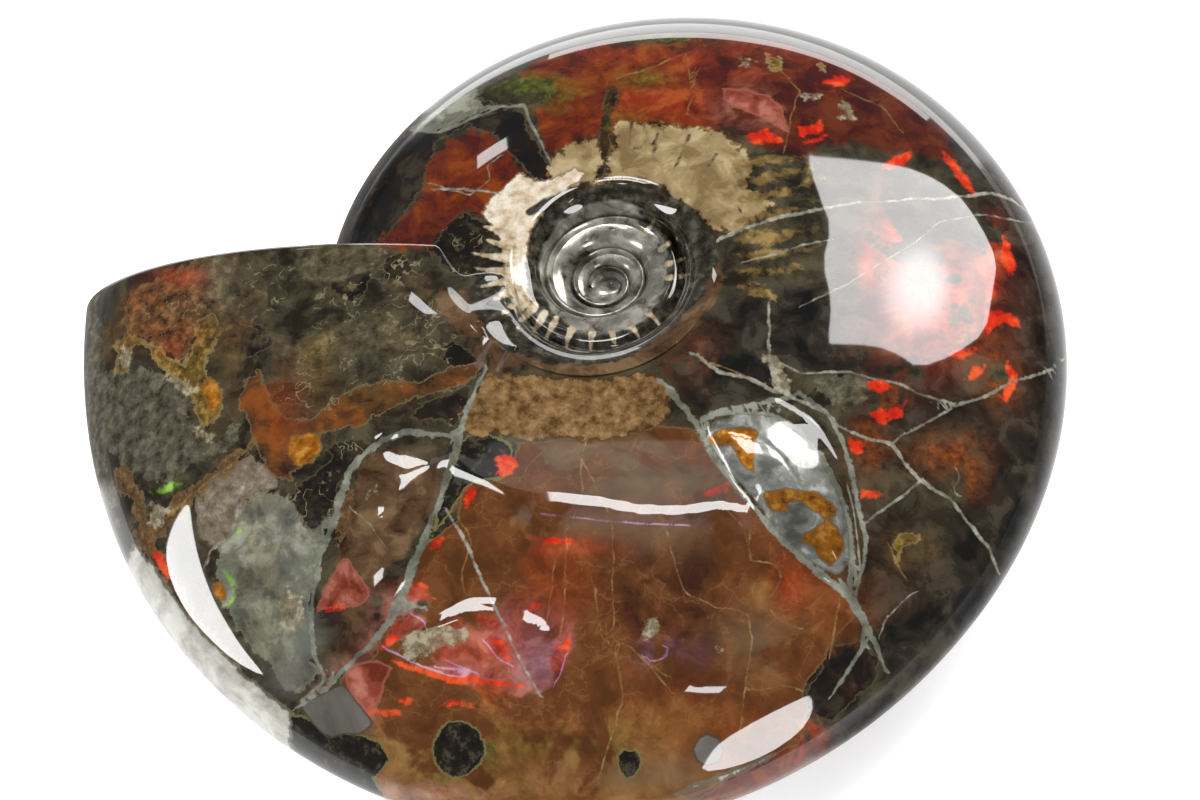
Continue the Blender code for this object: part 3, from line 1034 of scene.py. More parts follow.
        ((880, 168), (892, 158), (914, 151), (908, 162), (890, 170)),
        ((940, 150), (952, 158), (968, 180), (976, 198), (966, 190), (950, 168)),
        ((1003, 235), (1012, 250), (1016, 268), (1010, 278), (1004, 268), (1001, 250)),
        ((991, 276), (998, 282), (992, 298), (984, 306), (986, 292)),
        ((983, 312), (998, 308), (1018, 318), (1020, 328), (1003, 322), (992, 330), (984, 338)),
        ((942, 357), (960, 349), (984, 345), (974, 352), (955, 359)),
        ((966, 379), (975, 368), (987, 366), (978, 376)),
        ((1006, 359), (1018, 376), (1008, 400), (1000, 398), (1010, 380)),
        ((150, 545), (162, 556), (174, 580), (164, 574), (154, 560)),
        ((314, 611), (330, 606), (356, 606), (350, 609), (330, 612)),
    ),
    Mark.PALE: (
        ((278, 598), (288, 590), (300, 594), (304, 612), (298, 630), (284, 625), (280, 612)),
        ((640, 628), (645, 616), (655, 614), (662, 622), (655, 634), (645, 638)),
        ((710, 650), (716, 645), (721, 651), (717, 657)),
        ((368, 490), (376, 487), (378, 500), (374, 505), (369, 498)),
        ((404, 640), (415, 628), (440, 626), (465, 630), (468, 642), (450, 648), (425, 650), (415, 662),
         (406, 655)),
        ((116, 352), (128, 345), (132, 356), (126, 366), (117, 362)),
        ((166, 377), (182, 378), (193, 390), (186, 392), (172, 384)),
        ((193, 430), (205, 434), (217, 434), (210, 439), (197, 438)),
        ((842, 100), (850, 106), (852, 118), (844, 116)), ((800, 97), (818, 94), (814, 101), (803, 102)),
        ((738, 62), (752, 62), (748, 67)), ((150, 500), (170, 512), (160, 530), (150, 522)),
        ((768, 355), (777, 358), (786, 380), (795, 397), (785, 399), (774, 386), (769, 372)),
    ),
    Mark.NACRE_AND_REFLECTION: (
        ((134, 546), (146, 556), (158, 574), (171, 595), (191, 621), (216, 647), (242, 672), (268, 694),
         (290, 712), (290, 770), (240, 755), (180, 700), (130, 640), (112, 590)),
    ),
    Mark.FERN: (
        ((246, 498), (262, 492), (300, 505), (296, 545), (284, 580), (292, 620), (300, 660), (284, 680),
         (262, 652), (244, 636), (236, 580), (240, 545)),
        ((300, 300), (340, 285), (345, 250), (400, 252), (440, 275), (462, 330), (478, 358), (440, 372),
         (380, 384), (350, 392), (330, 408), (310, 418), (290, 415), (280, 395), (300, 360), (310, 330)),
        ((255, 262), (300, 250), (330, 262), (300, 290), (262, 330), (236, 340), (228, 300)),
        ((320, 440), (350, 438), (372, 448), (350, 470), (338, 492), (326, 520), (312, 540), (296, 510),
         (300, 480)),
        ((440, 395), (470, 388), (466, 408), (458, 420), (436, 418)),
        ((138, 305), (160, 290), (190, 290), (205, 310), (196, 335), (176, 350), (150, 335)),
        ((250, 640), (290, 600), (318, 640), (300, 690), (270, 670)),
        ((440, 224), (482, 219), (505, 235), (500, 275), (455, 276)),
    ),
    Mark.INNER: (
        ((470, 268), (480, 308), (490, 336), (509, 360), (562, 372), (605, 372), (636, 366), (664, 348),
         (695, 320), (716, 288), (720, 266), (712, 237), (692, 207), (654, 189), (610, 184), (560, 193),
         (530, 214), (500, 236), (480, 250)),
    ),
    Mark.COIL_AND_GLINTS: (
        # The inner coil: grey spar, mottled to near white in broad patches that are painted highlights of its
        # chrome-like shine
        ((540, 268), (545, 245), (560, 222), (586, 205), (615, 201), (642, 209), (660, 228), (668, 258),
         (664, 290), (650, 314), (628, 328), (602, 334), (573, 328), (552, 310), (543, 290)),
    ),
}

# The marks' brush strokes: points of the middle line in pixels, each with the half width there
STROKES: dict[Mark, tuple[Stroke, ...]] = {
    Mark.FIRE: (
        ((494, 638, 2), (504, 650, 3), (508, 662, 1)), ((524, 618, 1.5), (533, 609, 2.5), (542, 604, 1)),
        ((555, 640, 2), (567, 648, 2)), ((382, 650, 2), (390, 640, 3), (402, 634, 1.5)),
        ((445, 675, 1.5), (480, 680, 2), (520, 687, 1.5)),
        ((524, 538, 1), (545, 539, 2.5), (570, 542, 2), (602, 548, 0.5)),
        ((527, 613, 0.5), (532, 606, 1.5), (542, 602, 1)),
        ((380, 658, 1), (398, 663, 1.5), (427, 671, 2), (456, 681, 2.5), (476, 680, 2), (498, 683, 2),
         (516, 688, 1.5), (538, 691, 0.5)),
        ((418, 583, 1), (426, 590, 1.5), (433, 598, 1)), ((367, 711, 1), (384, 713, 2), (398, 713, 1.5)),
        ((390, 692, 0.5), (400, 700, 2), (415, 703, 1)), ((440, 706, 1), (456, 702, 2), (474, 706, 1)),
        ((556, 648, 0.5), (566, 642, 1.5), (569, 638, 1)),
    ),
    Mark.LIME: (
        ((150, 493, 1), (162, 490, 2.5), (176, 486, 2), (186, 483, 0.5)),
        ((219, 556, 0.5), (222, 568, 2), (230, 578, 1.5), (236, 590, 2), (234, 602, 2), (226, 608, 0.5)),
        ((240, 506, 0.3), (241, 520, 1), (237, 536, 0.3)),
    ),
    Mark.RUST: (
        ((138, 505, 4), (148, 540, 5), (160, 572, 6), (176, 604, 5), (196, 634, 4), (224, 664, 4),
         (252, 690, 4)),
        ((176, 500, 4), (196, 490, 5), (222, 470, 5), (246, 452, 4)),
    ),
    Mark.NACRE_AND_REFLECTION: (
        # A thin pale line along the bottom rim: a painted reflection of the table in the rim, not nacre
        ((676, 794, 2), (710, 782, 2.5), (745, 769, 2.5), (772, 755, 1.5)),
    ),
    Mark.EDGE: (
        ((90, 290, 16), (88, 330, 18), (90, 420, 18), (102, 475, 12)),
        ((330, 246, 20), (352, 205, 22), (372, 172, 22), (398, 138, 18), (420, 116, 6)),
        ((985, 170, 6), (1006, 205, 9), (1024, 245, 10), (1041, 300, 10), (1047, 360, 10), (1044, 420, 10),
         (1032, 480, 10), (1007, 540, 10), (975, 600, 10), (926, 660, 10), (866, 720, 8), (820, 750, 4)),
    ),
    Mark.TOOTH: (
        ((483, 226, 0.8), (496, 230, 3), (512, 236, 5)), ((486, 240, 0.8), (500, 244, 3), (514, 250, 5)),
        ((470, 253, 0.8), (488, 256, 2.5), (512, 260, 5)), ((474, 268, 0.8), (490, 270, 2.5), (512, 272, 5)),
        ((480, 287, 0.8), (492, 284, 2.5), (514, 279, 5)), ((488, 303, 0.8), (500, 296, 3), (518, 288, 5)),
        ((498, 318, 0.8), (508, 309, 3), (524, 298, 5)), ((516, 330, 0.8), (522, 320, 3), (534, 306, 5)),
        ((528, 340, 0.5), (536, 328, 2.5), (544, 314, 4)), ((545, 342, 0.5), (549, 332, 2.5), (556, 320, 4)),
        ((566, 348, 0.5), (568, 338, 2.5), (572, 328, 4)), ((591, 350, 0.5), (591, 341, 2.5), (592, 332, 4)),
        ((617, 349, 0.5), (614, 340, 2.5), (611, 331, 3)), ((640, 340, 0.5), (636, 332, 2), (630, 324, 3)),
        ((660, 326, 0.5), (654, 318, 2), (646, 311, 3)), ((690, 274, 0.6), (682, 276, 2), (668, 278, 3)),
        ((688, 256, 0.6), (680, 260, 2), (667, 264, 3)), ((678, 238, 0.6), (671, 242, 2), (660, 250, 3)),
        ((655, 218, 0.6), (651, 226, 2), (644, 234, 3)),
    ),
    Mark.GAP: (
        ((632, 122, 1.2), (628, 150, 0.6)), ((660, 124, 1.4), (652, 158, 0.6)),
        ((690, 134, 1.2), (676, 166, 0.6)), ((718, 152, 1.2), (698, 180, 0.6)),
        ((634, 148, 1.6), (644, 146, 1.6)), ((652, 144, 1.6), (660, 143, 1.2)),
        ((690, 176, 1.6), (696, 182, 1.2)), ((706, 194, 1.6), (712, 200, 1.2)),
        ((722, 180, 1.2), (730, 188, 1.6)), ((684, 204, 1.4), (690, 210, 1)),
        ((700, 220, 1.4), (708, 224, 1)), ((718, 212, 1.2), (726, 216, 1)), ((664, 168, 1.2), (670, 172, 1)),
        ((736, 206, 1.2), (742, 212, 1)),
        ((430, 106, 8), (470, 80, 9), (500, 64, 9), (540, 49, 9), (600, 32, 9), (660, 24, 9), (720, 24, 9),
         (780, 33, 9), (840, 51, 9), (900, 81, 9), (955, 125, 8), (990, 165, 6)),
        ((462, 222, 3), (482, 232, 3), (500, 240, 1)), ((452, 262, 5), (478, 262, 5), (508, 265, 2)),
        ((530, 212, 4), (545, 205, 6), (566, 196, 5), (590, 192, 2)),
        ((596, 192, 3), (630, 192, 4), (664, 202, 3)),
        ((640, 212, 2), (668, 228, 3), (676, 250, 3), (676, 280, 3), (664, 310, 2)),
        ((472, 270, 4), (480, 300, 4), (492, 328, 4), (512, 350, 4), (545, 360, 3), (600, 364, 3),
         (650, 350, 3), (680, 325, 3), (700, 295, 2)),
    ),
    Mark.STREAK: (
        ((735, 168, 4), (770, 158, 4), (802, 156, 1)), ((738, 184, 4), (775, 176, 4), (815, 168, 1)),
        ((742, 200, 4), (780, 192, 4), (822, 180, 1)), ((738, 222, 4), (775, 214, 3), (818, 200, 1)),
        ((735, 240, 4), (770, 238, 4), (815, 228, 1)), ((733, 256, 4), (770, 256, 4), (820, 246, 1)),
        ((733, 270, 3), (765, 272, 3), (800, 268, 1)), ((735, 284, 3), (760, 290, 3), (775, 300, 1)),
    ),
}

# The thin lines, each point in pixels with the half width there
VEINS: dict[str, tuple[Stroke, ...]] = {
    "grey_band": (
        ((452, 436, 2.5), (430, 434, 3.5), (405, 432, 3), (384, 440, 3.5), (362, 455, 3.5), (350, 472, 4),
         (341, 495, 4.5), (333, 525, 3.5), (321, 555, 3), (314, 590, 2.5), (311, 625, 2.5), (314, 655, 2.5),
         (326, 680, 2), (300, 702, 2)),
        ((488, 366, 2), (474, 392, 2.5), (463, 420, 3), (456, 450, 3.5), (446, 480, 3.5), (436, 510, 3),
         (424, 540, 4), (411, 572, 4.5), (398, 604, 5.5), (385, 628, 4), (366, 650, 3), (345, 668, 2.5),
         (325, 690, 2), (296, 708, 1.5)),
        ((398, 604, 4.5), (425, 608, 1.5)),
        ((655, 374, 2), (672, 392, 3.5), (688, 412, 4), (700, 430, 4), (712, 455, 3), (733, 482, 2.5),
         (755, 508, 3), (775, 533, 3.5), (800, 556, 4), (825, 578, 4), (850, 598, 4.5), (864, 622, 3.5),
         (876, 645, 2.5), (886, 670, 2)),
        ((700, 420, 3.5), (725, 411, 3.5), (755, 405, 3), (785, 398, 3), (800, 392, 2.5)),
        ((725, 414, 1.5), (770, 414, 2), (800, 430, 2.5), (824, 460, 2.5), (840, 490, 2.5), (850, 525, 2.5),
         (852, 560, 3), (850, 590, 3)),
        ((800, 394, 2.5), (825, 410, 2.5), (842, 440, 2.5), (853, 475, 3), (858, 510, 2.5), (866, 540, 2.5),
         (864, 565, 2), (856, 590, 2.5)),
        ((866, 625, 2.5), (862, 650, 2), (845, 675, 2), (832, 695, 1.5)),
        ((410, 130, 1), (440, 132, 2), (470, 119, 1.5), (500, 107, 1), (524, 106, 1.5), (530, 122, 1.5),
         (541, 142, 1.5), (553, 168, 1)),
    ),
    "pale_vein": (
        ((768, 303, 2), (769, 330, 2.5), (769, 360, 4), (780, 390, 4), (793, 397, 3), (828, 415, 3),
         (839, 427, 2.5), (865, 437, 2.5), (892, 444, 3), (905, 462, 3), (920, 480, 3.5), (950, 499, 3),
         (975, 530, 2.5), (990, 550, 2.5), (999, 574, 2)),
        ((720, 239, 3), (745, 228, 3), (777, 218, 3), (819, 209, 2.5), (860, 203, 1.5), (908, 200, 1.5),
         (955, 197, 2.5), (991, 193, 2.5), (1010, 199, 2), (1027, 212, 1.5)),
        ((680, 345, 2), (700, 358, 3), (720, 372, 3), (750, 378, 3), (780, 395, 3)),
        ((445, 508, 2), (456, 525, 2.5), (472, 555, 2.5), (485, 588, 2.5), (505, 628, 2.5), (520, 660, 2),
         (540, 697, 2)),
        ((243, 486, 2), (238, 500, 2.5), (236, 520, 2.5), (231, 532, 2.5), (220, 542, 2.5), (211, 550, 3),
         (206, 565, 3)),
        ((435, 190, 1.5), (450, 188, 2), (480, 191, 2), (497, 194, 1.5)),
    ),
    "pale_branch": (
        ((778, 362, 2), (800, 374, 2), (846, 371, 2), (870, 378, 2), (897, 383, 2.5), (920, 394, 2),
         (956, 405, 3), (985, 396, 3), (1018, 380, 3), (1045, 372, 2.5), (1064, 360, 2)),
        ((892, 444, 2), (898, 438, 2), (915, 429, 2.5), (935, 418, 2), (956, 405, 2)),
        ((920, 480, 2), (905, 495, 2.5), (885, 508, 3), (867, 521, 2.5)),
        ((800, 305, 1.5), (830, 293, 1.5), (867, 273, 1), (917, 241, 1), (940, 222, 1), (965, 217, 1.5),
         (986, 214, 1.5), (1010, 220, 1.5), (1037, 224, 1.5)),
        ((740, 262, 1.5), (775, 255, 1.5), (800, 245, 1.5), (830, 240, 1.5)),
        ((958, 495, 1.5), (952, 490, 2), (960, 478, 2), (958, 470, 1)),
        ((430, 184, 1), (470, 195, 1), (490, 180, 1.5), (488, 165, 1), (500, 155, 1)),
        ((880, 635, 1), (885, 620, 1.5), (900, 605, 1), (915, 592, 1)),
        ((1060, 362, 1), (1048, 370, 1.5), (1052, 378, 1)), ((350, 507, 1), (372, 528, 1.2), (386, 548, 1)),
    ),
    "violet_line": (
        ((384, 648, 1), (400, 656, 1.2), (422, 667, 1.2), (449, 676, 1.2), (464, 677, 0.8)),
        ((411, 614, 0.8), (424, 622, 1), (427, 630, 0.6)),
        ((484, 642, 0.8), (500, 660, 1.2), (512, 666, 0.8)),
        ((645, 656, 0.8), (652, 662, 1), (664, 658, 1), (670, 650, 1), (664, 646, 0.8)),
        ((540, 514, 0.8), (580, 518, 0.8), (640, 524, 1), (690, 526, 0.8)),
        ((555, 684, 0.6), (561, 672, 1), (566, 656, 0.8)), ((446, 660, 0.6), (462, 668, 1), (478, 674, 0.8)),
    ),
    "tan_hairline": (
        ((593, 580, 0.8), (596, 600, 1.6), (598, 620, 1), (602, 638, 1), (614, 650, 1), (620, 680, 1.2),
         (624, 700, 1), (618, 712, 1.4), (616, 725, 1), (608, 748, 1.4), (600, 775, 1)),
        ((660, 515, 0.8), (668, 540, 1), (676, 568, 1), (686, 594, 1.2), (700, 600, 1), (716, 608, 1),
         (740, 611, 1), (748, 616, 1.6), (753, 640, 1), (748, 670, 1.2), (744, 700, 1), (740, 730, 1)),
        ((606, 505, 1), (613, 525, 1), (614, 560, 1), (612, 590, 1), (614, 625, 1)),
        ((585, 440, 0.8), (580, 465, 1), (583, 495, 0.8), (572, 520, 0.8)),
        ((566, 520, 0.7), (566, 560, 1), (565, 600, 1), (560, 640, 1)),
        ((749, 500, 0.8), (750, 560, 1), (770, 562, 0.8), (785, 574, 1), (776, 590, 0.8)),
        ((839, 600, 1.2), (836, 625, 1.4), (830, 655, 1)),
        ((610, 640, 0.8), (632, 648, 1), (655, 672, 1.2), (672, 692, 1)),
        ((800, 690, 1), (780, 684, 1), (760, 690, 0.8), (745, 686, 0.8)),
        ((606, 372, 1.5), (605, 400, 2.2), (607, 425, 1.6), (612, 440, 1)),
        ((596, 425, 0.8), (620, 420, 1.2)),
    ),
    "tan_branch": (
        ((520, 480, 0.8), (530, 462, 0.8), (545, 450, 0.8)),
        ((578, 455, 0.8), (590, 475, 0.8), (600, 500, 0.8)),
        ((460, 520, 0.8), (472, 540, 0.8), (462, 575, 0.8), (465, 595, 0.8)),
        ((555, 560, 0.7), (552, 590, 0.8), (548, 620, 0.8)),
        ((640, 655, 0.8), (655, 668, 0.8), (668, 676, 0.8)),
        ((775, 590, 0.8), (768, 605, 0.8), (776, 620, 0.8), (800, 628, 0.8)),
        ((720, 500, 0.7), (745, 530, 0.7), (752, 560, 0.7)),
        ((686, 56, 0.8), (690, 75, 1), (694, 95, 1), (688, 110, 1)),
        ((620, 78, 0.8), (650, 68, 0.8), (680, 55, 1)), ((700, 70, 0.8), (690, 90, 0.8)),
        ((700, 360, 0.8), (730, 368, 0.8), (765, 385, 1)), ((890, 545, 1), (896, 565, 1.2), (905, 577, 1)),
        ((240, 458, 1.5), (210, 480, 1.5), (190, 496, 1.5), (170, 515, 1.5)),
        ((470, 640, 0.7), (500, 668, 0.8), (530, 690, 0.8)),
        ((845, 90, 0.8), (880, 105, 0.8), (900, 130, 0.8)),
        ((780, 70, 0.8), (800, 90, 0.8), (790, 120, 0.8), (785, 150, 0.8)),
    ),
}

# The soft patches of colour: middle, half width and half height in pixels, and strength
GLOWS: dict[str, Spots] = {
    "orange_glow": (
        (550, 596, 34, 44, 0.9), (800, 585, 45, 35, 0.4), (560, 702, 70, 26, 0.9), (456, 700, 66, 24, 1.0),
        (450, 570, 25, 40, 0.5), (600, 700, 110, 45, 0.5), (430, 700, 60, 25, 0.7), (720, 745, 90, 30, 0.6),
        (760, 540, 40, 25, 0.3), (500, 495, 35, 20, 0.3), (830, 620, 30, 30, 0.5), (620, 790, 200, 30, 0.6),
        (275, 420, 22, 40, 0.7), (560, 660, 30, 40, 0.5),
    ),
    "shadow_glow": (
        (668, 604, 125, 78, 1.0), (650, 650, 60, 28, 0.6), (700, 670, 45, 22, 0.5), (620, 560, 30, 20, 0.3),
        (240, 330, 15, 20, 0.7), (375, 555, 22, 26, 0.7), (400, 290, 30, 18, 0.5), (260, 350, 16, 12, 0.6),
        (350, 270, 20, 14, 0.5), (460, 590, 14, 10, 0.4),
    ),
    "red_glow": (
        (425, 590, 14, 14, 0.7), (450, 655, 45, 22, 0.7), (490, 650, 30, 26, 0.8), (440, 690, 60, 16, 0.7),
        (392, 706, 14, 8, 1.0), (558, 650, 12, 22, 0.6), (565, 545, 45, 7, 0.5), (790, 590, 14, 18, 0.3),
        (392, 640, 10, 26, 0.7), (660, 100, 50, 12, 0.3), (560, 60, 40, 10, 0.3), (720, 60, 90, 20, 0.2),
        (932, 300, 38, 38, 0.9), (905, 240, 20, 32, 0.85), (867, 265, 7, 24, 0.7), (990, 262, 10, 26, 0.9),
        (345, 600, 16, 6, 0.6), (804, 738, 12, 18, 0.7), (470, 500, 10, 12, 0.5), (650, 140, 60, 8, 0.1),
        (185, 276, 22, 6, 0.5), (172, 349, 8, 6, 0.35), (420, 690, 40, 14, 0.5),
    ),
    "ember_glow": (
        (868, 448, 14, 20, 0.8), (948, 454, 26, 14, 0.9), (976, 478, 10, 14, 0.8), (1000, 375, 14, 24, 0.9),
        (890, 397, 14, 10, 0.7), (690, 345, 20, 24, 0.4), (168, 330, 34, 12, 0.5), (140, 300, 20, 10, 0.6),
        (195, 290, 16, 10, 0.6), (128, 340, 12, 10, 0.4), (230, 260, 16, 8, 0.3),
    ),
    "lichen_glow": (
        (330, 282, 56, 40, 0.8), (220, 276, 18, 28, 0.9), (270, 350, 22, 18, 0.7), (366, 330, 40, 26, 0.6),
        (320, 320, 24, 24, 0.6), (250, 620, 26, 34, 0.8),
    ),
    "slate_glow": (
        (300, 556, 14, 50, 0.9), (308, 640, 12, 44, 0.85), (286, 518, 24, 14, 0.6), (290, 680, 16, 16, 0.8),
    ),
    # Greys the amber above and below the bright strip: painted reflection, the dim veil of light round that
    # strip
    "veil_reflection_glow": (
        (500, 458, 50, 22, 0.9), (560, 452, 60, 20, 0.9), (640, 455, 60, 22, 0.9), (700, 470, 30, 16, 0.6),
        (600, 482, 120, 14, 0.9), (520, 512, 60, 12, 0.8), (600, 520, 70, 14, 0.8), (660, 530, 60, 16, 0.7),
        (420, 500, 20, 30, 0.7), (640, 775, 60, 14, 0.8), (760, 640, 30, 24, 0.5),
    ),
    "gold_glow": (
        (320, 330, 16, 40, 0.75), (310, 300, 14, 14, 0.5), (232, 345, 10, 24, 0.4), (205, 410, 12, 12, 0.5),
        (262, 572, 14, 18, 0.4), (912, 548, 20, 14, 0.45), (380, 395, 30, 8, 0.3), (455, 735, 34, 22, 0.6),
        (262, 290, 12, 10, 0.3), (425, 300, 8, 20, 0.4), (120, 340, 12, 20, 0.4), (230, 310, 10, 14, 0.3),
        (460, 750, 44, 40, 0.6), (400, 330, 30, 16, 0.3),
    ),
    "moss_glow": (
        (470, 716, 26, 8, 0.6), (428, 762, 12, 12, 0.5), (446, 778, 24, 8, 0.5), (606, 744, 16, 16, 0.4),
        (418, 732, 12, 22, 0.8), (458, 716, 30, 7, 0.9), (530, 84, 28, 8, 0.9), (665, 36, 34, 7, 0.8),
        (640, 78, 22, 7, 0.8), (560, 96, 20, 12, 0.6), (604, 112, 10, 20, 0.5), (622, 120, 20, 8, 0.4),
        (430, 735, 14, 18, 0.5), (490, 744, 7, 16, 0.9), (452, 790, 60, 8, 0.3), (556, 748, 26, 8, 0.6),
    ),
    "honey_glow": (
        (402, 742, 24, 34, 0.9), (440, 792, 60, 10, 0.8), (600, 742, 70, 26, 0.8), (480, 786, 44, 14, 0.9),
        (505, 745, 30, 20, 0.6), (762, 595, 9, 13, 0.9), (518, 533, 12, 9, 1.0), (640, 794, 130, 20, 0.7),
        (455, 702, 40, 12, 0.5), (790, 650, 50, 30, 0.3), (470, 700, 60, 14, 0.3),
    ),
    # Rose shell tints; the spot at the upper right (752, 108) is the same painted pink reflection
    "rose_glow_and_sheen": (
        (402, 645, 22, 28, 0.9), (500, 640, 50, 26, 0.25), (362, 690, 20, 18, 1.0), (418, 602, 14, 10, 0.6),
        (556, 660, 12, 16, 0.8), (450, 665, 60, 8, 0.5), (480, 640, 34, 16, 0.35), (538, 660, 22, 26, 0.45),
        (430, 792, 50, 6, 0.6), (345, 590, 16, 14, 0.4), (255, 478, 16, 14, 0.4), (752, 108, 24, 12, 0.5),
    ),
    "violet_glow": (
        (410, 664, 12, 5, 0.7), (470, 676, 30, 3, 0.7), (541, 663, 20, 26, 1.0), (400, 620, 6, 12, 0.6),
        (660, 652, 16, 8, 0.8), (645, 662, 8, 4, 0.5), (700, 655, 8, 10, 0.3), (560, 512, 50, 4, 0.4),
        (690, 520, 40, 4, 0.4), (500, 622, 10, 16, 0.5),
    ),
}

@dataclass
class Markings:
    """The stone's colours drawn on the flank: which mark lies where, in the photograph's pixels."""

    shell: Shell
    reach: float = 60.0
    slide_rows: float = 0.6

    def points(self) -> Array:
        """Where each point of the fossil falls in the photograph; the underside takes its twin's place.

        Returns:
            The pixel coordinates, one point to a row.
        """
        turn, row, place = read_points(self.shell.fossil.data)
        seen = self.shell.camera.pixels(place / MM)
        below = place[:, 2] < -self.shell.middle_slack
        slide = self.shell.underside_turn * smoothstep((2 - row[below]) / self.slide_rows)
        twin = self.shell.places(np.minimum(turn[below], 0) - slide, np.maximum(row[below], 0))
        seen[below] = self.shell.camera.pixels(twin)
        return seen

    def depth(self, mark: Mark, points: Array) -> Array:
        """How deep points lie inside a mark's outlines and strokes.

        Args:
            mark: The mark.
            points: Points in pixels, one to a row.

        Returns:
            The greatest depth of each point, in pixels.
        """
        depth = np.full(len(points), -self.reach)
        for outline in OUTLINES.get(mark, ()):
            depth = np.maximum(depth, outline_distance(points, outline, self.reach))
        for stroke in STROKES.get(mark, ()):
            depth = np.maximum(depth, stroke_distance(points, stroke, self.reach))
        return depth

    def glow(self, spots: Spots, points: Array) -> Array:
        """How strongly soft spots tint points.

        Args:
            spots: The spots, each with its middle, half width, half height and strength.
            points: Points in pixels, one to a row.

        Returns:
            The strongest tint at each point, 0 to 1.
        """
        total = np.zeros(len(points))
        for x, y, wide, high, strength in spots:
            away = ((points[:, 0] - x) / wide) ** 2 + ((points[:, 1] - y) / high) ** 2
            total = np.maximum(total, strength * np.exp(-away / 2))
        return total

    def draw(self) -> None:
        """Gives the mesh an attribute for each mark, glow and group of veins."""
        mesh, points = self.shell.fossil.data, self.points()
        for mark in Mark:
            add_attribute(mesh, mark.value, self.depth(mark, points))
        for name, spots in GLOWS.items():
            add_attribute(mesh, name, self.glow(spots, points))
        for name, lines in VEINS.items():
            apart = line_distance(points, lines, self.reach)
            vein = mesh.attributes.new(name, "FLOAT_VECTOR", "POINT")
            vein.data.foreach_set("vector", apart.ravel())
        LOG.info("markings drawn at %d points", len(points))


Shade = tuple[int, int, int]
Colour = tuple[float, float, float, float]
Feed = NodeSocket | float | tuple[float, ...]

# How bright the lit stone is against its own colour, and the light that its gloss adds
STUDIO_LIGHT = 1.45
GLOSS_HAZE = 0.011
DARKEST = 0.001
BLACK_LIGHT: Colour = (0.0, 0.0, 0.0, 1.0)
WHITE_LIGHT: Colour = (1.0, 1.0, 1.0, 1.0)

# The curve that pictures store their colours with
CURVE_KNEE = 0.04045
CURVE_SLOPE = 12.92
CURVE_OFFSET = 0.055
CURVE_POWER = 2.4


def stone(shade: Shade) -> Colour:
    """Turns a colour as seen on the lit stone into the shader's own colour under the gloss.

    Args:
        shade: The colour seen, 0 to 255 in each channel.

    Returns:
        The shader's colour.
    """
    seen = []
    for share in (channel / 255 for channel in shade):
        curved = ((share + CURVE_OFFSET) / (1 + CURVE_OFFSET)) ** CURVE_POWER
        seen.append(share / CURVE_SLOPE if share <= CURVE_KNEE else curved)
    red, green, blue = (max(light - GLOSS_HAZE, DARKEST) / STUDIO_LIGHT for light in seen)
    return red, green, blue, 1.0


class Grain(Enum):
    """The patterns that mottle the stone, each one an output of the grain group."""

    FINE = "Fine"
    MIDDLE = "Middle"
    BROAD = "Broad"
    FERN = "Fern"
    CRAZE = "Craze"


@dataclass(frozen=True)
class Noise:
    """A noise: its scale per millimetre, detail, roughness and warp, and the values that become 0 and 1."""

    scale: float
    detail: float
    rough: float = 0.6
    warp: float = 0.0
    span: Span = (0.3, 0.7)


@dataclass(frozen=True)
class Tone:
    """A mottled colour: its dark, middle and light shades and the grain that mixes them."""

    dark: Shade
    middle: Shade
    light: Shade
    grain: Grain = Grain.MIDDLE


@dataclass(frozen=True)
class Layer:
    """One mark's colour: its tone, how ragged and soft its edge is in pixels, and the thin line round it."""

    mark: Mark
    tone: Tone
    rag: float = 10.0
    soft: float = 1.5
    strength: float = 1.0
    rim: Shade | None = None


@dataclass(frozen=True)
class Glow:
    """A soft patch of colour within the amber and the orange shell."""

    name: str
    tone: Tone
    strength: float


@dataclass(frozen=True)
class Vein:
    """A group of thin lines: its name, its tone, how far it wanders in pixels and its width's factor."""

    name: str
    tone: Tone
    wander: float
    widen: float
    strength: float


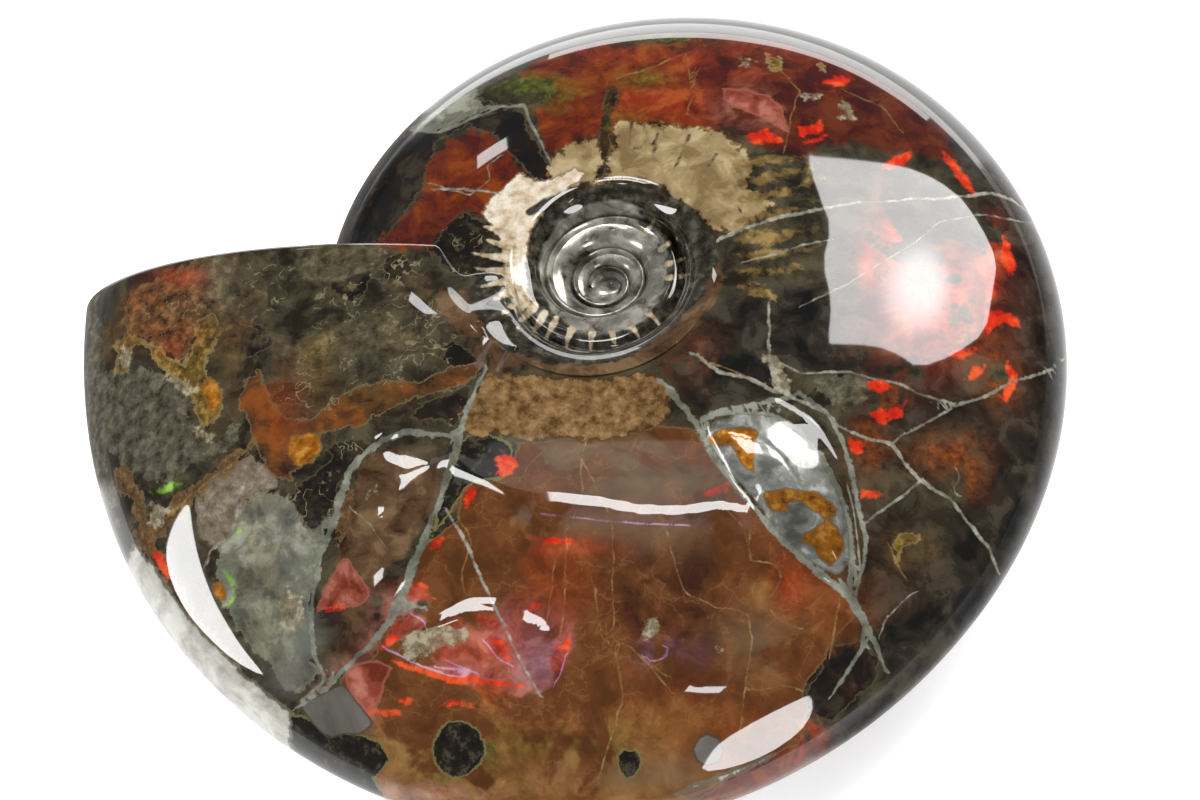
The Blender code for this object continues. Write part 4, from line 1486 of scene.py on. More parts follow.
class Bench:
    """Adds shader nodes to a tree and joins them, one effect at a time."""

    def __init__(self, tree: NodeTree) -> None:
        """Keeps the tree that the nodes go into."""
        self.tree = tree

    def node(self, kind: str, **settings: object) -> Node:
        """Adds a node.

        Args:
            kind: The node's type.
            **settings: Its own settings, by name.

        Returns:
            The node.
        """
        node = self.tree.nodes.new(kind)
        for name, value in settings.items():
            setattr(node, name, value)
        return node

    def feed(self, socket: NodeSocket, value: Feed) -> None:
        """Joins a socket to an output, or sets it to a plain value.

        Args:
            socket: The input.
            value: The output or the value.
        """
        if isinstance(value, NodeSocket):
            self.tree.links.new(value, socket)
        else:
            socket.default_value = value

    def feed_all(self, node: Node, values: dict[str, Feed]) -> Node:
        """Feeds some inputs of a node.

        Args:
            node: The node.
            values: The outputs or values, by the names of the inputs.

        Returns:
            The node.
        """
        for name, value in values.items():
            self.feed(node.inputs[name], value)
        return node

    def attribute(self, name: str) -> Node:
        """Reads a mesh attribute."""
        return self.node("ShaderNodeAttribute", attribute_name=name)

    def sum(self, operation: str, *values: Feed) -> NodeSocket:
        """Works out one number from up to three.

        Args:
            operation: The name of the sum.
            *values: The numbers.

        Returns:
            The result.
        """
        node = self.node("ShaderNodeMath", operation=operation)
        for socket, value in zip(node.inputs, values):
            self.feed(socket, value)
        return node.outputs[0]

    def times(self, first: Feed, second: Feed) -> NodeSocket:
        """Multiplies two numbers."""
        return self.sum("MULTIPLY", first, second)

    def ease(
        self, value: Feed, low: Feed, high: Feed, start: float = 0.0, end: float = 1.0
    ) -> NodeSocket:
        """Maps a number smoothly from one range onto another.

        Args:
            value: The number.
            low: What becomes the start.
            high: What becomes the end.
            start: The new range's start.
            end: The new range's end.

        Returns:
            The mapped number.
        """
        node = self.node("ShaderNodeMapRange", interpolation_type="SMOOTHSTEP")
        ends = {"From Min": low, "From Max": high, "To Min": start, "To Max": end}
        return self.feed_all(node, {"Value": value, **ends}).outputs[0]

    def mix(self, factor: Feed, below: Feed, above: Feed) -> NodeSocket:
        """Lays one colour over another.

        Args:
            factor: The share of the colour above.
            below: The colour below.
            above: The colour above.

        Returns:
            The mixed colour.
        """
        node = self.node("ShaderNodeMix", data_type="RGBA")
        for index, value in ((0, factor), (6, below), (7, above)):
            self.feed(node.inputs[index], value)
        return node.outputs[2]

    def noise(self, place: Feed, noise: Noise) -> Node:
        """Adds a noise.

        Args:
            place: Where it is read, in mm.
            noise: What it looks like.

        Returns:
            The node.
        """
        settings = {"Scale": noise.scale, "Detail": noise.detail}
        settings |= {"Roughness": noise.rough, "Distortion": noise.warp}
        return self.feed_all(self.node("ShaderNodeTexNoise"), {"Vector": place, **settings})

    def use(self, group: NodeTree, **values: Feed) -> Node:
        """Adds a node group and feeds its inputs by name."""
        return self.feed_all(self.node("ShaderNodeGroup", node_tree=group), values)


def new_group(
    name: str, takes: dict[str, str], gives: dict[str, str]
) -> tuple[Bench, bpy.types.NodeOutputs, Node]:
    """Starts a shader node group.

    Args:
        name: The group's name.
        takes: Its inputs and their kinds.
        gives: Its outputs and their kinds.

    Returns:
        A bench for the group, its inputs as sockets to read, and its output node.
    """
    group = bpy.data.node_groups.new(name, "ShaderNodeTree")
    for side, sockets in (("INPUT", takes), ("OUTPUT", gives)):
        for label, kind in sockets.items():
            group.interface.new_socket(name=label, in_out=side, socket_type=f"NodeSocket{kind}")
    bench = Bench(group)
    return bench, bench.node("NodeGroupInput").outputs, bench.node("NodeGroupOutput")


def new_material(name: str) -> tuple[Material, Bench, Node]:
    """Starts a material.

    Args:
        name: The material's name.

    Returns:
        The material, a bench for its nodes and its shader.
    """
    material = bpy.data.materials.new(name)
    material.use_nodes = True
    return material, Bench(material.node_tree), material.node_tree.nodes["Principled BSDF"]


@dataclass(frozen=True)
class Palette:
    """What every colour of the stone is mixed with: its mottles and the groups for tones and masks."""

    bench: Bench
    grains: Node
    tones: NodeTree
    masks: NodeTree
    lines: NodeTree

    def mottle(self, grain: Grain) -> NodeSocket:
        """The output of a grain."""
        return self.grains.outputs[grain.value]

    def toned(self, tone: Tone) -> NodeSocket:
        """Mixes a tone's three shades by its grain."""
        shades = {"Dark": stone(tone.dark), "Middle": stone(tone.middle), "Light": stone(tone.light)}
        return self.bench.use(self.tones, Grain=self.mottle(tone.grain), **shades).outputs["Colour"]

    def masked(self, mark: Mark, rag: float, soft: float) -> Node:
        """Makes a mark's mask and the line round it, from its depth."""
        edge, depth = self.grains.outputs["Edge"], self.bench.attribute(mark.value).outputs["Fac"]
        return self.bench.use(self.masks, Depth=depth, Edge=edge, Rag=rag, Soft=soft)


@dataclass(frozen=True)
class PolishedStone:
    """The finish of the cut and polished fossil: spar, shell and stone under one clear gloss."""

    name: str = "polished_fossil"
    ground: Tone = Tone((38, 34, 25), (62, 57, 44), (84, 78, 60))
    fine: Noise = Noise(0.75, 6, 0.65)
    middle: Noise = Noise(0.26, 6, 0.62, 0.4, (0.32, 0.68))
    broad: Noise = Noise(0.085, 4, 0.6, 0.6, (0.35, 0.65))
    push: Noise = Noise(0.26, 3)
    push_by: float = 5.0
    fern: Noise = Noise(0.16, 3, 0.55)
    ferns_over: Mark = Mark.GOLD
    fern_line: Shade = (146, 138, 106)
    fern_share: float = 0.75
    fern_edge: Span = (24.0, 8.0)
    fern_bands: float = 9.0
    fern_width: Span = (0.09, 0.02)
    fern_where: Span = (0.44, 0.56)
    craze_line: Shade = (146, 110, 68)
    craze_share: float = 0.22
    craze_scale: float = 0.3
    craze_width: Span = (0.035, 0.012)
    craze_where: Span = (0.46, 0.54)
    rim_share: float = 0.7
    rim_width: Span = (1.6, 0.5)
    vein_sway: Span = (0.25, 0.62)
    vein_widths: Span = (0.6, 1.5)
    vein_slack: float = 4.0
    vein_soft: float = 0.8
    vein_reach: Span = (12.0, 8.0)
    metals: tuple[Mark, ...] = (Mark.SILVER, Mark.COIL_AND_GLINTS)
    metal_share: float = 0.5
    metal_roughness: float = 0.26
    dull_edge: Span = (5.0, 14.0)
    edge_gloss: float = 0.2
    gloss_roughness: float = 0.03
    gloss_ior: float = 1.5
    stone_roughness: float = 0.4
    sunk: Mark = Mark.GAP
    fine_bump: float = 0.3
    bump_strength: float = 0.25
    bump_height: float = 0.05
    glows_over: Mark = Mark.AMBER
    glow_where: Span = (0.2, 0.55)
    glows: tuple[Glow, ...] = (
        Glow("shadow_glow", Tone((46, 28, 21), (66, 41, 30), (88, 56, 38)), 0.85),
        Glow("orange_glow", Tone((112, 53, 22), (134, 62, 26), (150, 76, 33)), 0.75),
        Glow("ember_glow", Tone((70, 34, 18), (112, 58, 30), (160, 84, 36), Grain.FINE), 0.9),
        Glow("honey_glow", Tone((126, 90, 48), (152, 112, 62), (176, 138, 86)), 0.85),
        Glow("red_glow", Tone((140, 44, 24), (188, 62, 36), (220, 104, 70)), 0.95),
        Glow("gold_glow", Tone((72, 58, 32), (108, 84, 42), (146, 116, 58), Grain.FINE), 0.85),
        Glow("moss_glow", Tone((44, 52, 24), (76, 88, 34), (116, 124, 48), Grain.FINE), 0.85),
        Glow("rose_glow_and_sheen", Tone((150, 92, 78), (184, 126, 108), (206, 158, 142)), 0.85),
        Glow("lichen_glow", Tone((60, 57, 45), (92, 87, 68), (126, 119, 95), Grain.FINE), 0.85),
        Glow("slate_glow", Tone((60, 62, 58), (82, 84, 80), (104, 106, 101), Grain.BROAD), 0.9),
        # Painted reflection: the grey veil round the bright strip
        Glow("veil_reflection_glow", Tone((86, 72, 50), (104, 88, 64), (124, 104, 80), Grain.BROAD), 0.8),
        Glow("violet_glow", Tone((110, 84, 100), (136, 108, 132), (160, 134, 164)), 0.5),
    )
    veins: tuple[Vein, ...] = (
        Vein("grey_band", Tone((90, 92, 80), (120, 122, 109), (150, 152, 137)), 1.5, 0.85, 0.95),
        Vein("tan_hairline", Tone((100, 76, 46), (134, 106, 66), (170, 140, 94), Grain.FINE), 2.5, 0.6, 0.6),
        Vein("tan_branch", Tone((96, 74, 44), (128, 100, 60), (160, 130, 80), Grain.FINE), 2.5, 0.7, 0.7),
        Vein("pale_branch", Tone((98, 94, 82), (132, 129, 114), (168, 165, 148), Grain.FINE),
             2.0, 0.45, 0.85),
        Vein("pale_vein", Tone((98, 94, 82), (136, 133, 118), (172, 169, 152), Grain.FINE), 2.0, 0.5, 0.9),
        Vein("violet_line", Tone((150, 104, 140), (186, 144, 180), (214, 184, 214)), 1.5, 0.7, 0.6),
    )
    layers: tuple[Layer, ...] = (
        Layer(Mark.OLIVE, Tone((54, 51, 40), (84, 79, 65), (112, 107, 89), Grain.FINE), 12.0),
        Layer(Mark.GREY, Tone((82, 83, 73), (114, 115, 100), (156, 157, 139)),
              12.0, 3.0, rim=(128, 128, 108)),
        Layer(Mark.PANEL, Tone((94, 84, 71), (124, 112, 96), (154, 141, 123), Grain.FINE),
              8.0, 3.0, 0.9, (120, 112, 90)),
        Layer(Mark.BLACK, Tone((20, 17, 13), (36, 31, 25), (58, 52, 41)), 10.0, rim=(84, 76, 58)),
        Layer(Mark.RIM, Tone((26, 23, 19), (46, 42, 36), (68, 63, 54)), 14.0, 6.0),
        Layer(Mark.MAROON, Tone((60, 29, 19), (82, 39, 26), (100, 50, 34)), 12.0, 4.0),
        Layer(Mark.ORANGE, Tone((74, 33, 11), (103, 45, 13), (130, 64, 17)), 10.0, 2.0),
        Layer(Mark.OCHRE, Tone((50, 35, 25), (84, 56, 36), (122, 72, 36)), 10.0, 2.0, rim=(112, 100, 72)),
        Layer(Mark.RUST, Tone((58, 42, 28), (92, 68, 44), (132, 102, 66), Grain.FINE),
              14.0, 3.0, 0.9, (116, 96, 62)),
        Layer(Mark.GOLD, Tone((58, 46, 24), (104, 82, 38), (160, 132, 68), Grain.FINE),
              10.0, 1.5, 0.9, (140, 128, 88)),
        Layer(Mark.AMBER, Tone((80, 51, 31), (96, 59, 36), (110, 70, 43)), 5.0, rim=(116, 90, 58)),
        Layer(Mark.PIT, Tone((18, 16, 12), (38, 35, 29), (72, 68, 56), Grain.FINE), 6.0, rim=(120, 118, 72)),
        Layer(Mark.DISC, Tone((84, 80, 74), (100, 96, 90), (112, 108, 101), Grain.BROAD),
              2.0, rim=(66, 62, 54)),
        Layer(Mark.TAN, Tone((82, 60, 36), (122, 94, 60), (152, 122, 84), Grain.FINE), 9.0, rim=(70, 50, 30)),
        Layer(Mark.CREAM, Tone((124, 103, 70), (154, 134, 96), (184, 165, 126)), 14.0, rim=(110, 84, 50)),
        Layer(Mark.STREAK, Tone((74, 60, 34), (120, 98, 58), (162, 136, 84)), 12.0, 3.0, 0.9),
        Layer(Mark.INNER, Tone((34, 32, 26), (60, 57, 48), (96, 92, 80), Grain.FINE), 3.0),
        # Grey spar mottled to near white: the pale patches are painted highlights
        Layer(Mark.COIL_AND_GLINTS, Tone((76, 74, 65), (152, 149, 137), (216, 214, 202)), 3.0, 3.0),
        # Pearl shell, partly a painted highlight on the inner shoulder
        Layer(Mark.PEARL_AND_GLARE, Tone((186, 164, 134), (216, 200, 176), (236, 226, 210), Grain.FINE),
              6.0, rim=(120, 96, 64)),
        Layer(Mark.TOOTH, Tone((150, 128, 96), (196, 178, 148), (226, 214, 192), Grain.FINE), 2.0, 1.0),
        Layer(Mark.GAP, Tone((26, 23, 18), (44, 39, 31), (66, 60, 48), Grain.FINE), 3.0),
        Layer(Mark.BROWN, Tone((62, 44, 30), (88, 67, 48), (118, 94, 68)), 6.0),
        Layer(Mark.SILVER, Tone((88, 90, 82), (130, 131, 124), (198, 198, 192)), 5.0, rim=(90, 88, 78)),
        Layer(Mark.HONEY, Tone((104, 62, 16), (148, 92, 26), (186, 132, 58), Grain.FINE),
              5.0, rim=(120, 92, 52)),
        # Rose shell, with the painted pink reflection at the upper right
        Layer(Mark.ROSE_AND_SHEEN, Tone((108, 44, 34), (144, 70, 56), (180, 112, 94)), 4.0, 2.0, 0.75, (150, 90, 76)),
        Layer(Mark.FACET, Tone((104, 32, 24), (144, 48, 35), (178, 78, 60)), 6.0, 3.0, 0.75),
        Layer(Mark.FIRE, Tone((170, 36, 14), (214, 50, 28), (236, 96, 50)), 6.0, 1.8, 0.92),
        Layer(Mark.LIME, Tone((90, 120, 40), (120, 176, 60), (170, 224, 100)), 6.0, 2.0, 0.8),
        Layer(Mark.PALE, Tone((92, 82, 64), (132, 122, 98), (182, 174, 148), Grain.FINE), 14.0, 2.0, 0.8),
        # Pale nacre of the lower-left venter, and a painted reflection of the table along the bottom rim
        Layer(Mark.NACRE_AND_REFLECTION, Tone((166, 163, 150), (194, 192, 181), (220, 219, 210)),
              6.0, 3.0, 0.95, (90, 84, 66)),
    )

    def make(self) -> Material:
        """Makes the material.

        Returns:
            The material, with its mottles, marks, veins and gloss joined up.
        """
        material, bench, shader = new_material(self.name)
        coords = bench.node("ShaderNodeTexCoord")
        grains = bench.use(self.grain_group(), Place=coords.outputs["Object"])
        palette = Palette(bench, grains, self.tone_group(), self.mask_group(), self.vein_group())
        colour = palette.toned(self.ground)
        height = bench.times(palette.mottle(Grain.FINE), self.fine_bump)
        metal = 0.0
        for layer in self.layers:
            colour, mask = self.lay(palette, layer, colour)
            if layer.mark in self.metals:
                metal = bench.sum("ADD", metal, mask)
            if layer.mark is self.sunk:
                height = bench.sum("SUBTRACT", height, mask)
        for vein in self.veins:
            colour = self.draw_vein(palette, vein, colour)
        dull = palette.masked(Mark.EDGE, *self.dull_edge).outputs["Mask"]
        bump = bench.node("ShaderNodeBump")
        relief = {"Strength": self.bump_strength, "Distance": self.bump_height * MM, "Height": height}
        bench.feed_all(shader, {
            "Base Color": colour,
            "Metallic": bench.times(metal, self.metal_share),
            "Roughness": bench.ease(metal, 0, 1, self.stone_roughness, self.metal_roughness),
            "Coat Weight": bench.ease(dull, 0, 1, 1.0, self.edge_gloss),
            "Normal": bench.feed_all(bump, relief).outputs["Normal"],
            "Specular IOR Level": 0.0,
            "Coat Roughness": self.gloss_roughness,
            "Coat IOR": self.gloss_ior,
        })
        return material

    def lay(self, palette: Palette, layer: Layer, colour: Feed) -> tuple[Feed, Feed]:
        """Lays a mark's colour over what is below it, and what is drawn on that mark alone.

        Args:
            palette: What the colours are mixed with.
            layer: The mark and its colour.
            colour: The colour so far.

        Returns:
            The new colour and the mark's mask.
        """
        bench = palette.bench
        drawn = palette.masked(layer.mark, layer.rag, layer.soft)
        mask = bench.times(drawn.outputs["Mask"], layer.strength)
        colour = bench.mix(mask, colour, palette.toned(layer.tone))
        if layer.rim:
            colour = bench.mix(bench.times(drawn.outputs["Rim"], self.rim_share), colour, stone(layer.rim))
        if layer.mark is self.glows_over:
            colour = self.add_glows(palette, colour)
            crazed = bench.times(mask, palette.mottle(Grain.CRAZE))
            colour = bench.mix(bench.times(crazed, self.craze_share), colour, stone(self.craze_line))
        if layer.mark is self.ferns_over:
            fern = palette.masked(Mark.FERN, *self.fern_edge).outputs["Mask"]
            lines = bench.times(fern, palette.mottle(Grain.FERN))
            colour = bench.mix(bench.times(lines, self.fern_share), colour, stone(self.fern_line))
        return colour, mask

    def add_glows(self, palette: Palette, colour: Feed) -> Feed:
        """Tints the colour so far with the soft patches.

        Args:
            palette: What the colours are mixed with.
            colour: The colour so far.

        Returns:
            The new colour.
        """
        bench = palette.bench
        where = bench.ease(palette.mottle(Grain.BROAD), *self.glow_where)
        for glow in self.glows:
            share = bench.times(bench.attribute(glow.name).outputs["Fac"], glow.strength)
            colour = bench.mix(bench.times(share, where), colour, palette.toned(glow.tone))
        return colour

    def draw_vein(self, palette: Palette, vein: Vein, colour: Feed) -> Feed:
        """Draws a group of thin lines over the colour so far.

        Args:
            palette: What the colours are mixed with.
            vein: The group of lines.
            colour: The colour so far.

        Returns:
            The new colour.
        """
        line = palette.bench.use(
            palette.lines, Apart=palette.bench.attribute(vein.name).outputs["Vector"],
            Grain=palette.mottle(Grain.MIDDLE), Fine=palette.mottle(Grain.FINE),
            Wander=vein.wander, Widen=vein.widen,
        )
        share = palette.bench.times(line.outputs["Mask"], vein.strength)
        return palette.bench.mix(share, colour, palette.toned(vein.tone))

    def grain_group(self) -> NodeTree:
        """Makes the group of all the stone's mottles, each worked out from the place on it.

        Returns:
            The node group.
        """
        names = [grain.value for grain in Grain] + ["Edge"]
        bench, take, give = new_group("stone_grain", {"Place": "Vector"}, dict.fromkeys(names, "Float"))
        scaled = bench.node("ShaderNodeVectorMath", operation="SCALE")
        place = bench.feed_all(scaled, {"Vector": take["Place"], "Scale": 1 / MM}).outputs[0]
        fine, middle, broad = (
            bench.noise(place, noise).outputs["Fac"] for noise in (self.fine, self.middle, self.broad)
        )
        pushed = bench.node("ShaderNodeVectorMath", operation="MULTIPLY_ADD")
        drift = bench.noise(place, self.push).outputs["Color"]
        for socket, value in zip(pushed.inputs, (drift, (self.push_by,) * 3, place)):
            bench.feed(socket, value)
        fern = bench.noise(pushed.outputs[0], self.fern).outputs["Fac"]
        bands = bench.sum("PINGPONG", bench.times(fern, self.fern_bands), 0.5)
        cells = bench.node("ShaderNodeTexVoronoi", feature="DISTANCE_TO_EDGE")
        bench.feed_all(cells, {"Vector": pushed.outputs[0], "Scale": self.craze_scale})
        cracks = bench.ease(cells.outputs["Distance"], *self.craze_width)
        bench.feed_all(give, {
            "Fine": bench.ease(fine, *self.fine.span),
            "Middle": bench.ease(middle, *self.middle.span),
            "Broad": bench.ease(broad, *self.broad.span),
            "Fern": bench.times(bench.ease(bands, *self.fern_width), bench.ease(middle, *self.fern_where)),
            "Craze": bench.times(cracks, bench.ease(middle, *self.craze_where)),
            "Edge": bench.ease(bench.times(bench.sum("ADD", fine, middle), 0.5), *self.fine.span, -0.5, 0.5),
        })
        return bench.tree

    def mask_group(self) -> NodeTree:
        """Makes the group that turns a depth inside a mark into a mask with a ragged edge.

        Returns:
            The node group.
        """
        takes = dict.fromkeys(("Depth", "Edge", "Rag", "Soft"), "Float")
        bench, take, give = new_group("ragged_mask", takes, {"Mask": "Float", "Rim": "Float"})
        depth = bench.sum("MULTIPLY_ADD", take["Edge"], take["Rag"], take["Depth"])
        bench.feed_all(give, {
            "Mask": bench.ease(depth, bench.times(take["Soft"], -1.0), take["Soft"]),
            "Rim": bench.ease(bench.sum("ABSOLUTE", depth), *self.rim_width),
        })
        return bench.tree

    def tone_group(self) -> NodeTree:
        """Makes the group that mixes three shades by a grain.

        Returns:
            The node group.
        """
        takes = {"Grain": "Float", "Dark": "Color", "Middle": "Color", "Light": "Color"}
        bench, take, give = new_group("mottled_tone", takes, {"Colour": "Color"})
        colour = bench.mix(bench.ease(take["Grain"], 0.0, 0.5), take["Dark"], take["Middle"])
        colour = bench.mix(bench.ease(take["Grain"], 0.5, 1.0), colour, take["Light"])
        bench.feed(give.inputs["Colour"], colour)
        return bench.tree

    def vein_group(self) -> NodeTree:
        """Makes the group that draws a wandering line of changing width.

        Returns:
            The node group.
        """
        takes = {"Apart": "Vector", **dict.fromkeys(("Grain", "Fine", "Wander", "Widen"), "Float")}
        bench, take, give = new_group("vein_line", takes, {"Mask": "Float"})
        split = bench.node("ShaderNodeSeparateXYZ")
        bench.feed(split.inputs[0], take["Apart"])
        signed, plain, width = split.outputs
        fine_share, middle_sway = self.vein_sway
        sway = bench.sum("MULTIPLY_ADD", take["Fine"], fine_share, take["Grain"])
        sway = bench.times(bench.sum("SUBTRACT", sway, middle_sway), take["Wander"])
        away = bench.sum("ABSOLUTE", bench.sum("ADD", signed, sway))
        away = bench.sum("MAXIMUM", away, bench.sum("SUBTRACT", plain, self.vein_slack))
        wide = bench.times(width, take["Widen"])
        wide = bench.times(wide, bench.ease(take["Fine"], 0.0, 1.0, *self.vein_widths))
        line = bench.ease(bench.sum("SUBTRACT", wide, away), -self.vein_soft, self.vein_soft)
        bench.feed(give.inputs["Mask"], bench.times(line, bench.ease(plain, *self.vein_reach)))
        return bench.tree


@dataclass(frozen=True)
class StudioLight:
    """A light that faces the fossil: its direction, distance, roll, brightness and shift to the side."""

    name: str
    azimuth: float
    elevation: float
    distance: float
    roll: float
    radiance: float
    shift: Span = (0.0, 0.0)

    def facing(self) -> Matrix:
        """Works out the light's place and turn.

        Returns:
            The matrix, in metres.
        """
        a, e = math.radians(self.azimuth), math.radians(self.elevation)
        away = Vector((math.cos(a) * math.cos(e), math.sin(a) * math.cos(e), math.sin(e)))
        across = Vector((-math.sin(a), math.cos(a), 0.0))
        place = away * self.distance + across * self.shift[0] + away.cross(across) * self.shift[1]
        turned = Matrix((across, away.cross(across), away)).transposed().to_4x4()
        return Matrix.Translation(place) @ turned @ Matrix.Rotation(math.radians(self.roll), 4, "Z")


@dataclass(frozen=True)
class SoftBox(StudioLight):
    """A soft light with an even oblong front."""

    size: Span = (0.1, 0.1)

    def add(self) -> None:
        """Adds the light."""
        facing = self.facing()
        bpy.ops.object.light_add(type="AREA", location=facing.to_translation(), rotation=facing.to_euler())
        light = bpy.context.object
        light.name = self.name
        light.data.shape = "RECTANGLE"
        light.data.size, light.data.size_y = self.size
        light.data.energy = self.radiance * math.pi * self.size[0] * self.size[1]


@dataclass(frozen=True)
class FloorGlow(SoftBox):
    """A soft light that lies on the table behind the fossil, facing up."""

    def facing(self) -> Matrix:
        """The light's place and turn, flat on the table."""
        place = (self.shift[0], self.distance, self.shift[1])
        return Matrix.Translation(place) @ Matrix.Rotation(math.pi, 4, "X")


@dataclass(frozen=True)
class Panel(StudioLight):
    """A glowing sheet with corners of its own, brighter at its heart."""

    corners: Corners = ()
    heart: Span = (0.0, 0.0)
    heart_radius: float = 0.0
    heart_gain: float = 1.0
    heart_core: float = 0.3
    corner_cut: float = 0.25

    def add(self) -> None:
        """Adds the panel as a glowing sheet, which isn't part of the fossil."""
        outline = self.rounded()
        bpy.ops.mesh.primitive_circle_add(vertices=len(outline), fill_type="NGON")
        panel = bpy.context.object
        panel.name = self.name
        for vert, (across, up) in zip(panel.data.vertices, outline):
            vert.co = (across, up, 0.0)
        panel.matrix_world = self.facing()
        panel.data.materials.append(self.glow())

    def rounded(self) -> Corners:
        """Cuts each corner to a quarter of its sides.

        Returns:
            The outline with two corners for each one.
        """
        points = []
        far, near = 1 - self.corner_cut, self.corner_cut
        for (x1, y1), (x2, y2) in zip(self.corners, self.corners[1:] + self.corners[:1]):
            points.append((far * x1 + near * x2, far * y1 + near * y2))
            points.append((near * x1 + far * x2, near * y1 + far * y2))
        return tuple(points)

    def glow(self) -> Material:
        """Makes the panel's light, strongest at its heart.

        Returns:
            The glowing material.
        """
        material, bench, shader = new_material(self.name)
        light = WHITE_LIGHT
        if self.heart_radius:
            coords = bench.node("ShaderNodeTexCoord")
            away = bench.node("ShaderNodeVectorMath", operation="DISTANCE")
            bench.feed(away.inputs[0], coords.outputs["Object"])
            bench.feed(away.inputs[1], (*self.heart, 0.0))
            near = bench.ease(away.outputs["Value"], self.heart_radius, self.heart_core * self.heart_radius)
            light = bench.mix(near, WHITE_LIGHT, (*(self.heart_gain,) * 3, 1.0))
        glowing = {"Base Color": BLACK_LIGHT, "Emission Strength": self.radiance, "Emission Color": light}
        bench.feed_all(shader, glowing)
        return material


# The outlines of the panels, in metres across and up from their middles
WINDOW_CORNERS: Corners = (
    (0.24, -0.12), (0.14, -0.155), (0.02, -0.195), (-0.1, -0.215), (-0.21, -0.17), (-0.285, -0.115),
    (-0.25, 0.0), (-0.235, 0.12), (-0.11, 0.21), (0.0, 0.255), (0.07, 0.225), (0.14, 0.205), (0.235, 0.195),
    (0.25, 0.19), (0.255, 0.1), (0.275, 0.02), (0.25, -0.05), (0.26, -0.085), (0.25, -0.12),
)
LEFT_CORNERS: Corners = (
    (-0.23, 0.055), (-0.22, 0.04), (-0.14, -0.045), (-0.045, -0.15), (0.04, -0.21), (0.125, -0.22),
    (0.175, -0.175), (0.215, -0.115), (0.22, 0.0), (0.19, 0.008), (0.125, 0.005), (0.06, 0.013),
    (-0.015, 0.02), (-0.095, 0.03), (-0.17, 0.045), (-0.225, 0.06),
)
FRONT_CORNERS: Corners = (
    (0.01, 0.146), (0.11, 0.16), (0.2, 0.12), (0.215, 0.09), (0.17, -0.055), (0.1, -0.175), (0.0, -0.225),
    (-0.08, -0.17), (-0.125, -0.055), (-0.05, 0.08),
)
CRESCENT_CORNERS: Corners = (
    (0.33, 0.045), (0.33, -0.045), (0.19, -0.045), (0.14, -0.02), (0.14, 0.055), (0.19, 0.04),
)


@dataclass(frozen=True)
class TableTop:
    """The pale table, which isn't part of the fossil: its size and its finish."""

    width: float = 4.0
    below: float = 0.0001
    colour: Colour = (0.9, 0.9, 0.905, 1.0)
    roughness: float = 0.6
    shine: float = 0.2
    glow: float = 0.35

    def add(self) -> None:
        """Adds the table top."""
        bpy.ops.mesh.primitive_plane_add(size=self.width, location=(0, 0, -self.below))
        table = bpy.context.object
        table.name = "table_top"
        material, bench, shader = new_material("table_white")
        bench.feed_all(shader, {
            "Base Color": self.colour,
            "Roughness": self.roughness,
            "Specular IOR Level": self.shine,
            "Emission Color": WHITE_LIGHT,
            "Emission Strength": self.glow,
        })
        table.data.materials.append(material)


@dataclass(frozen=True)
class Room:
    """The light of the room: pale at the horizon and dark above a low height."""

    horizon: Colour = (0.7, 0.71, 0.73, 1.0)
    ceiling: Colour = (0.25, 0.25, 0.26, 1.0)
    ceiling_from: float = 0.12

    def add(self) -> None:
        """Makes the room the scene's world."""
        world = bpy.data.worlds.new("studio_room")
        bpy.context.scene.world = world
        world.use_nodes = True
        bench = Bench(world.node_tree)
        coords = bench.node("ShaderNodeTexCoord")
        split = bench.node("ShaderNodeSeparateXYZ")
        ramp = bench.node("ShaderNodeValToRGB")
        low, high = ramp.color_ramp.elements
        low.position, low.color = 0.0, self.horizon
        high.position, high.color = self.ceiling_from, self.ceiling
        bench.feed(split.inputs[0], coords.outputs["Generated"])
        bench.feed(ramp.inputs["Fac"], split.outputs["Z"])
        bench.feed(world.node_tree.nodes["Background"].inputs["Color"], ramp.outputs["Color"])


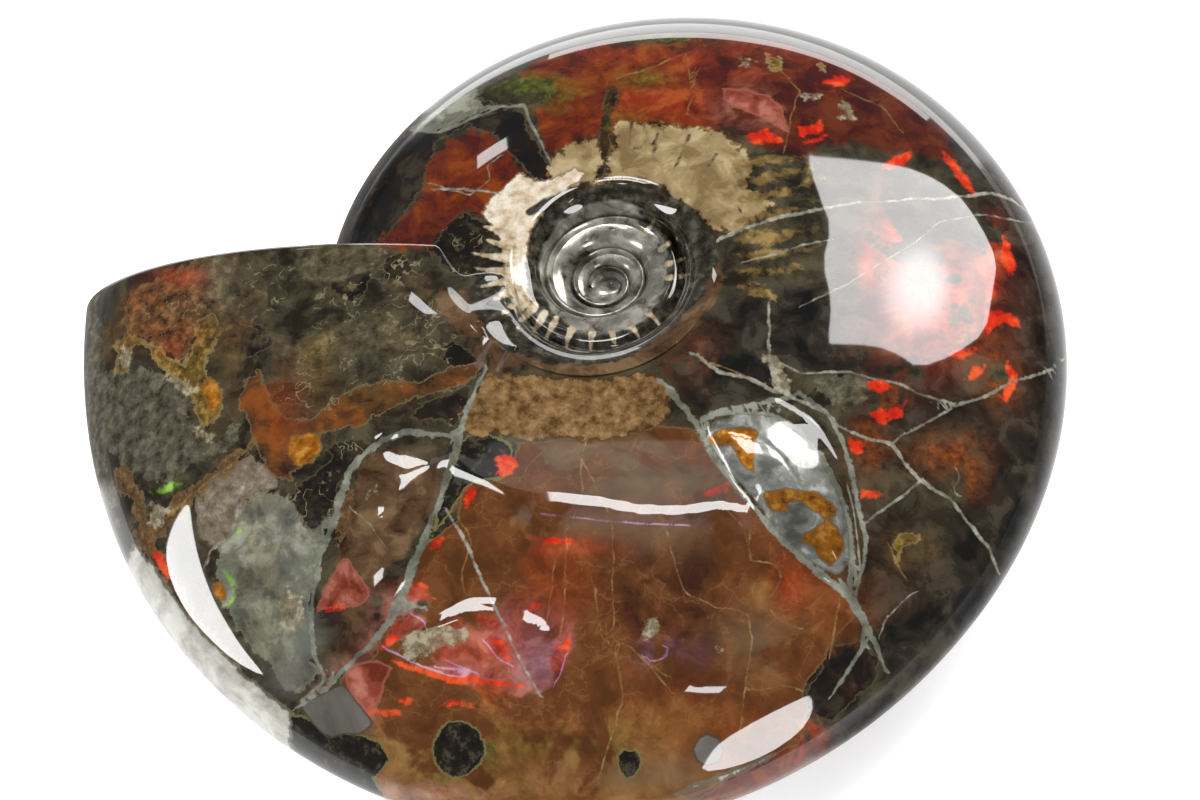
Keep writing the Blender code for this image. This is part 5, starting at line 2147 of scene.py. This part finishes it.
@dataclass
class Studio:
    """The pale table, the soft lights, the room and the camera."""

    camera: PhotoCamera
    resting: Resting
    table: TableTop = TableTop()
    room: Room = Room()
    lights: tuple[SoftBox | Panel, ...] = (
        Panel("window_light", 57, 36, 0.9, 33, 11.5, (-0.08, 0.01), WINDOW_CORNERS, (0.04, 0.07), 0.13, 1.8),
        Panel("left_light", -166, 27, 0.8, -20, 17.0, (0.0, 0.04), LEFT_CORNERS),
        Panel("front_light", -60, 27, 0.8, 8, 15.0, corners=FRONT_CORNERS),
        SoftBox("loop_light", 90, 81.8, 0.9, 0, 17.0, (0.218, 0.0), (0.225, 0.077)),
        Panel("crescent_light", 90, 74.3, 0.9, 0, 17.0, corners=CRESCENT_CORNERS),
        SoftBox("top_light", 90, 80.1, 0.9, 0, 17.0, (-0.094, 0.0), (0.235, 0.14)),
        SoftBox("haze_light", 90, 72.7, 0.9, 0, 1.0, (-0.08, 0.0), (0.38, 0.135)),
        SoftBox("patch_light", 114.6, 37.6, 0.9, 0, 10.0, size=(0.06, 0.06)),
        SoftBox("spot_light", -155, 73.5, 0.9, 0, 15.0, size=(0.05, 0.05)),
        SoftBox("low_lamp", -54, 60, 0.9, -60, 15.0, size=(0.095, 0.026)),
        SoftBox("back_wall", 84, 3.0, 0.8, 0, 4.5, size=(0.66, 0.075)),
        FloorGlow("back_floor", 0, 90, 0.42, 0, 2.6, (0.08, 0.001), (0.5, 0.6)),
    )

    def build(self) -> None:
        """Adds the table, the lights, the room and the camera."""
        for thing in (self.table, *self.lights, self.room):
            thing.add()
        self.camera.add(self.resting)
        bpy.context.scene.view_settings.view_transform = "Standard"


def main() -> None:
    """Builds the fossil and its studio."""
    logging.basicConfig(level=logging.INFO, format="%(message)s")
    resting = Resting()
    camera = PhotoCamera()
    body = Shell(Growth(), resting, camera)
    shell = body.build()
    Markings(body).draw()
    body.lay_down()
    shell.data.materials.append(PolishedStone().make())
    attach(shell, "root")
    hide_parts("ammonite")
    mesh = shell.data
    mesh.calc_loop_triangles()
    LOG.info("polished_ammonite: %d triangles", len(mesh.loop_triangles))
    Studio(camera, resting).build()


if __name__ == "__main__":
    main()
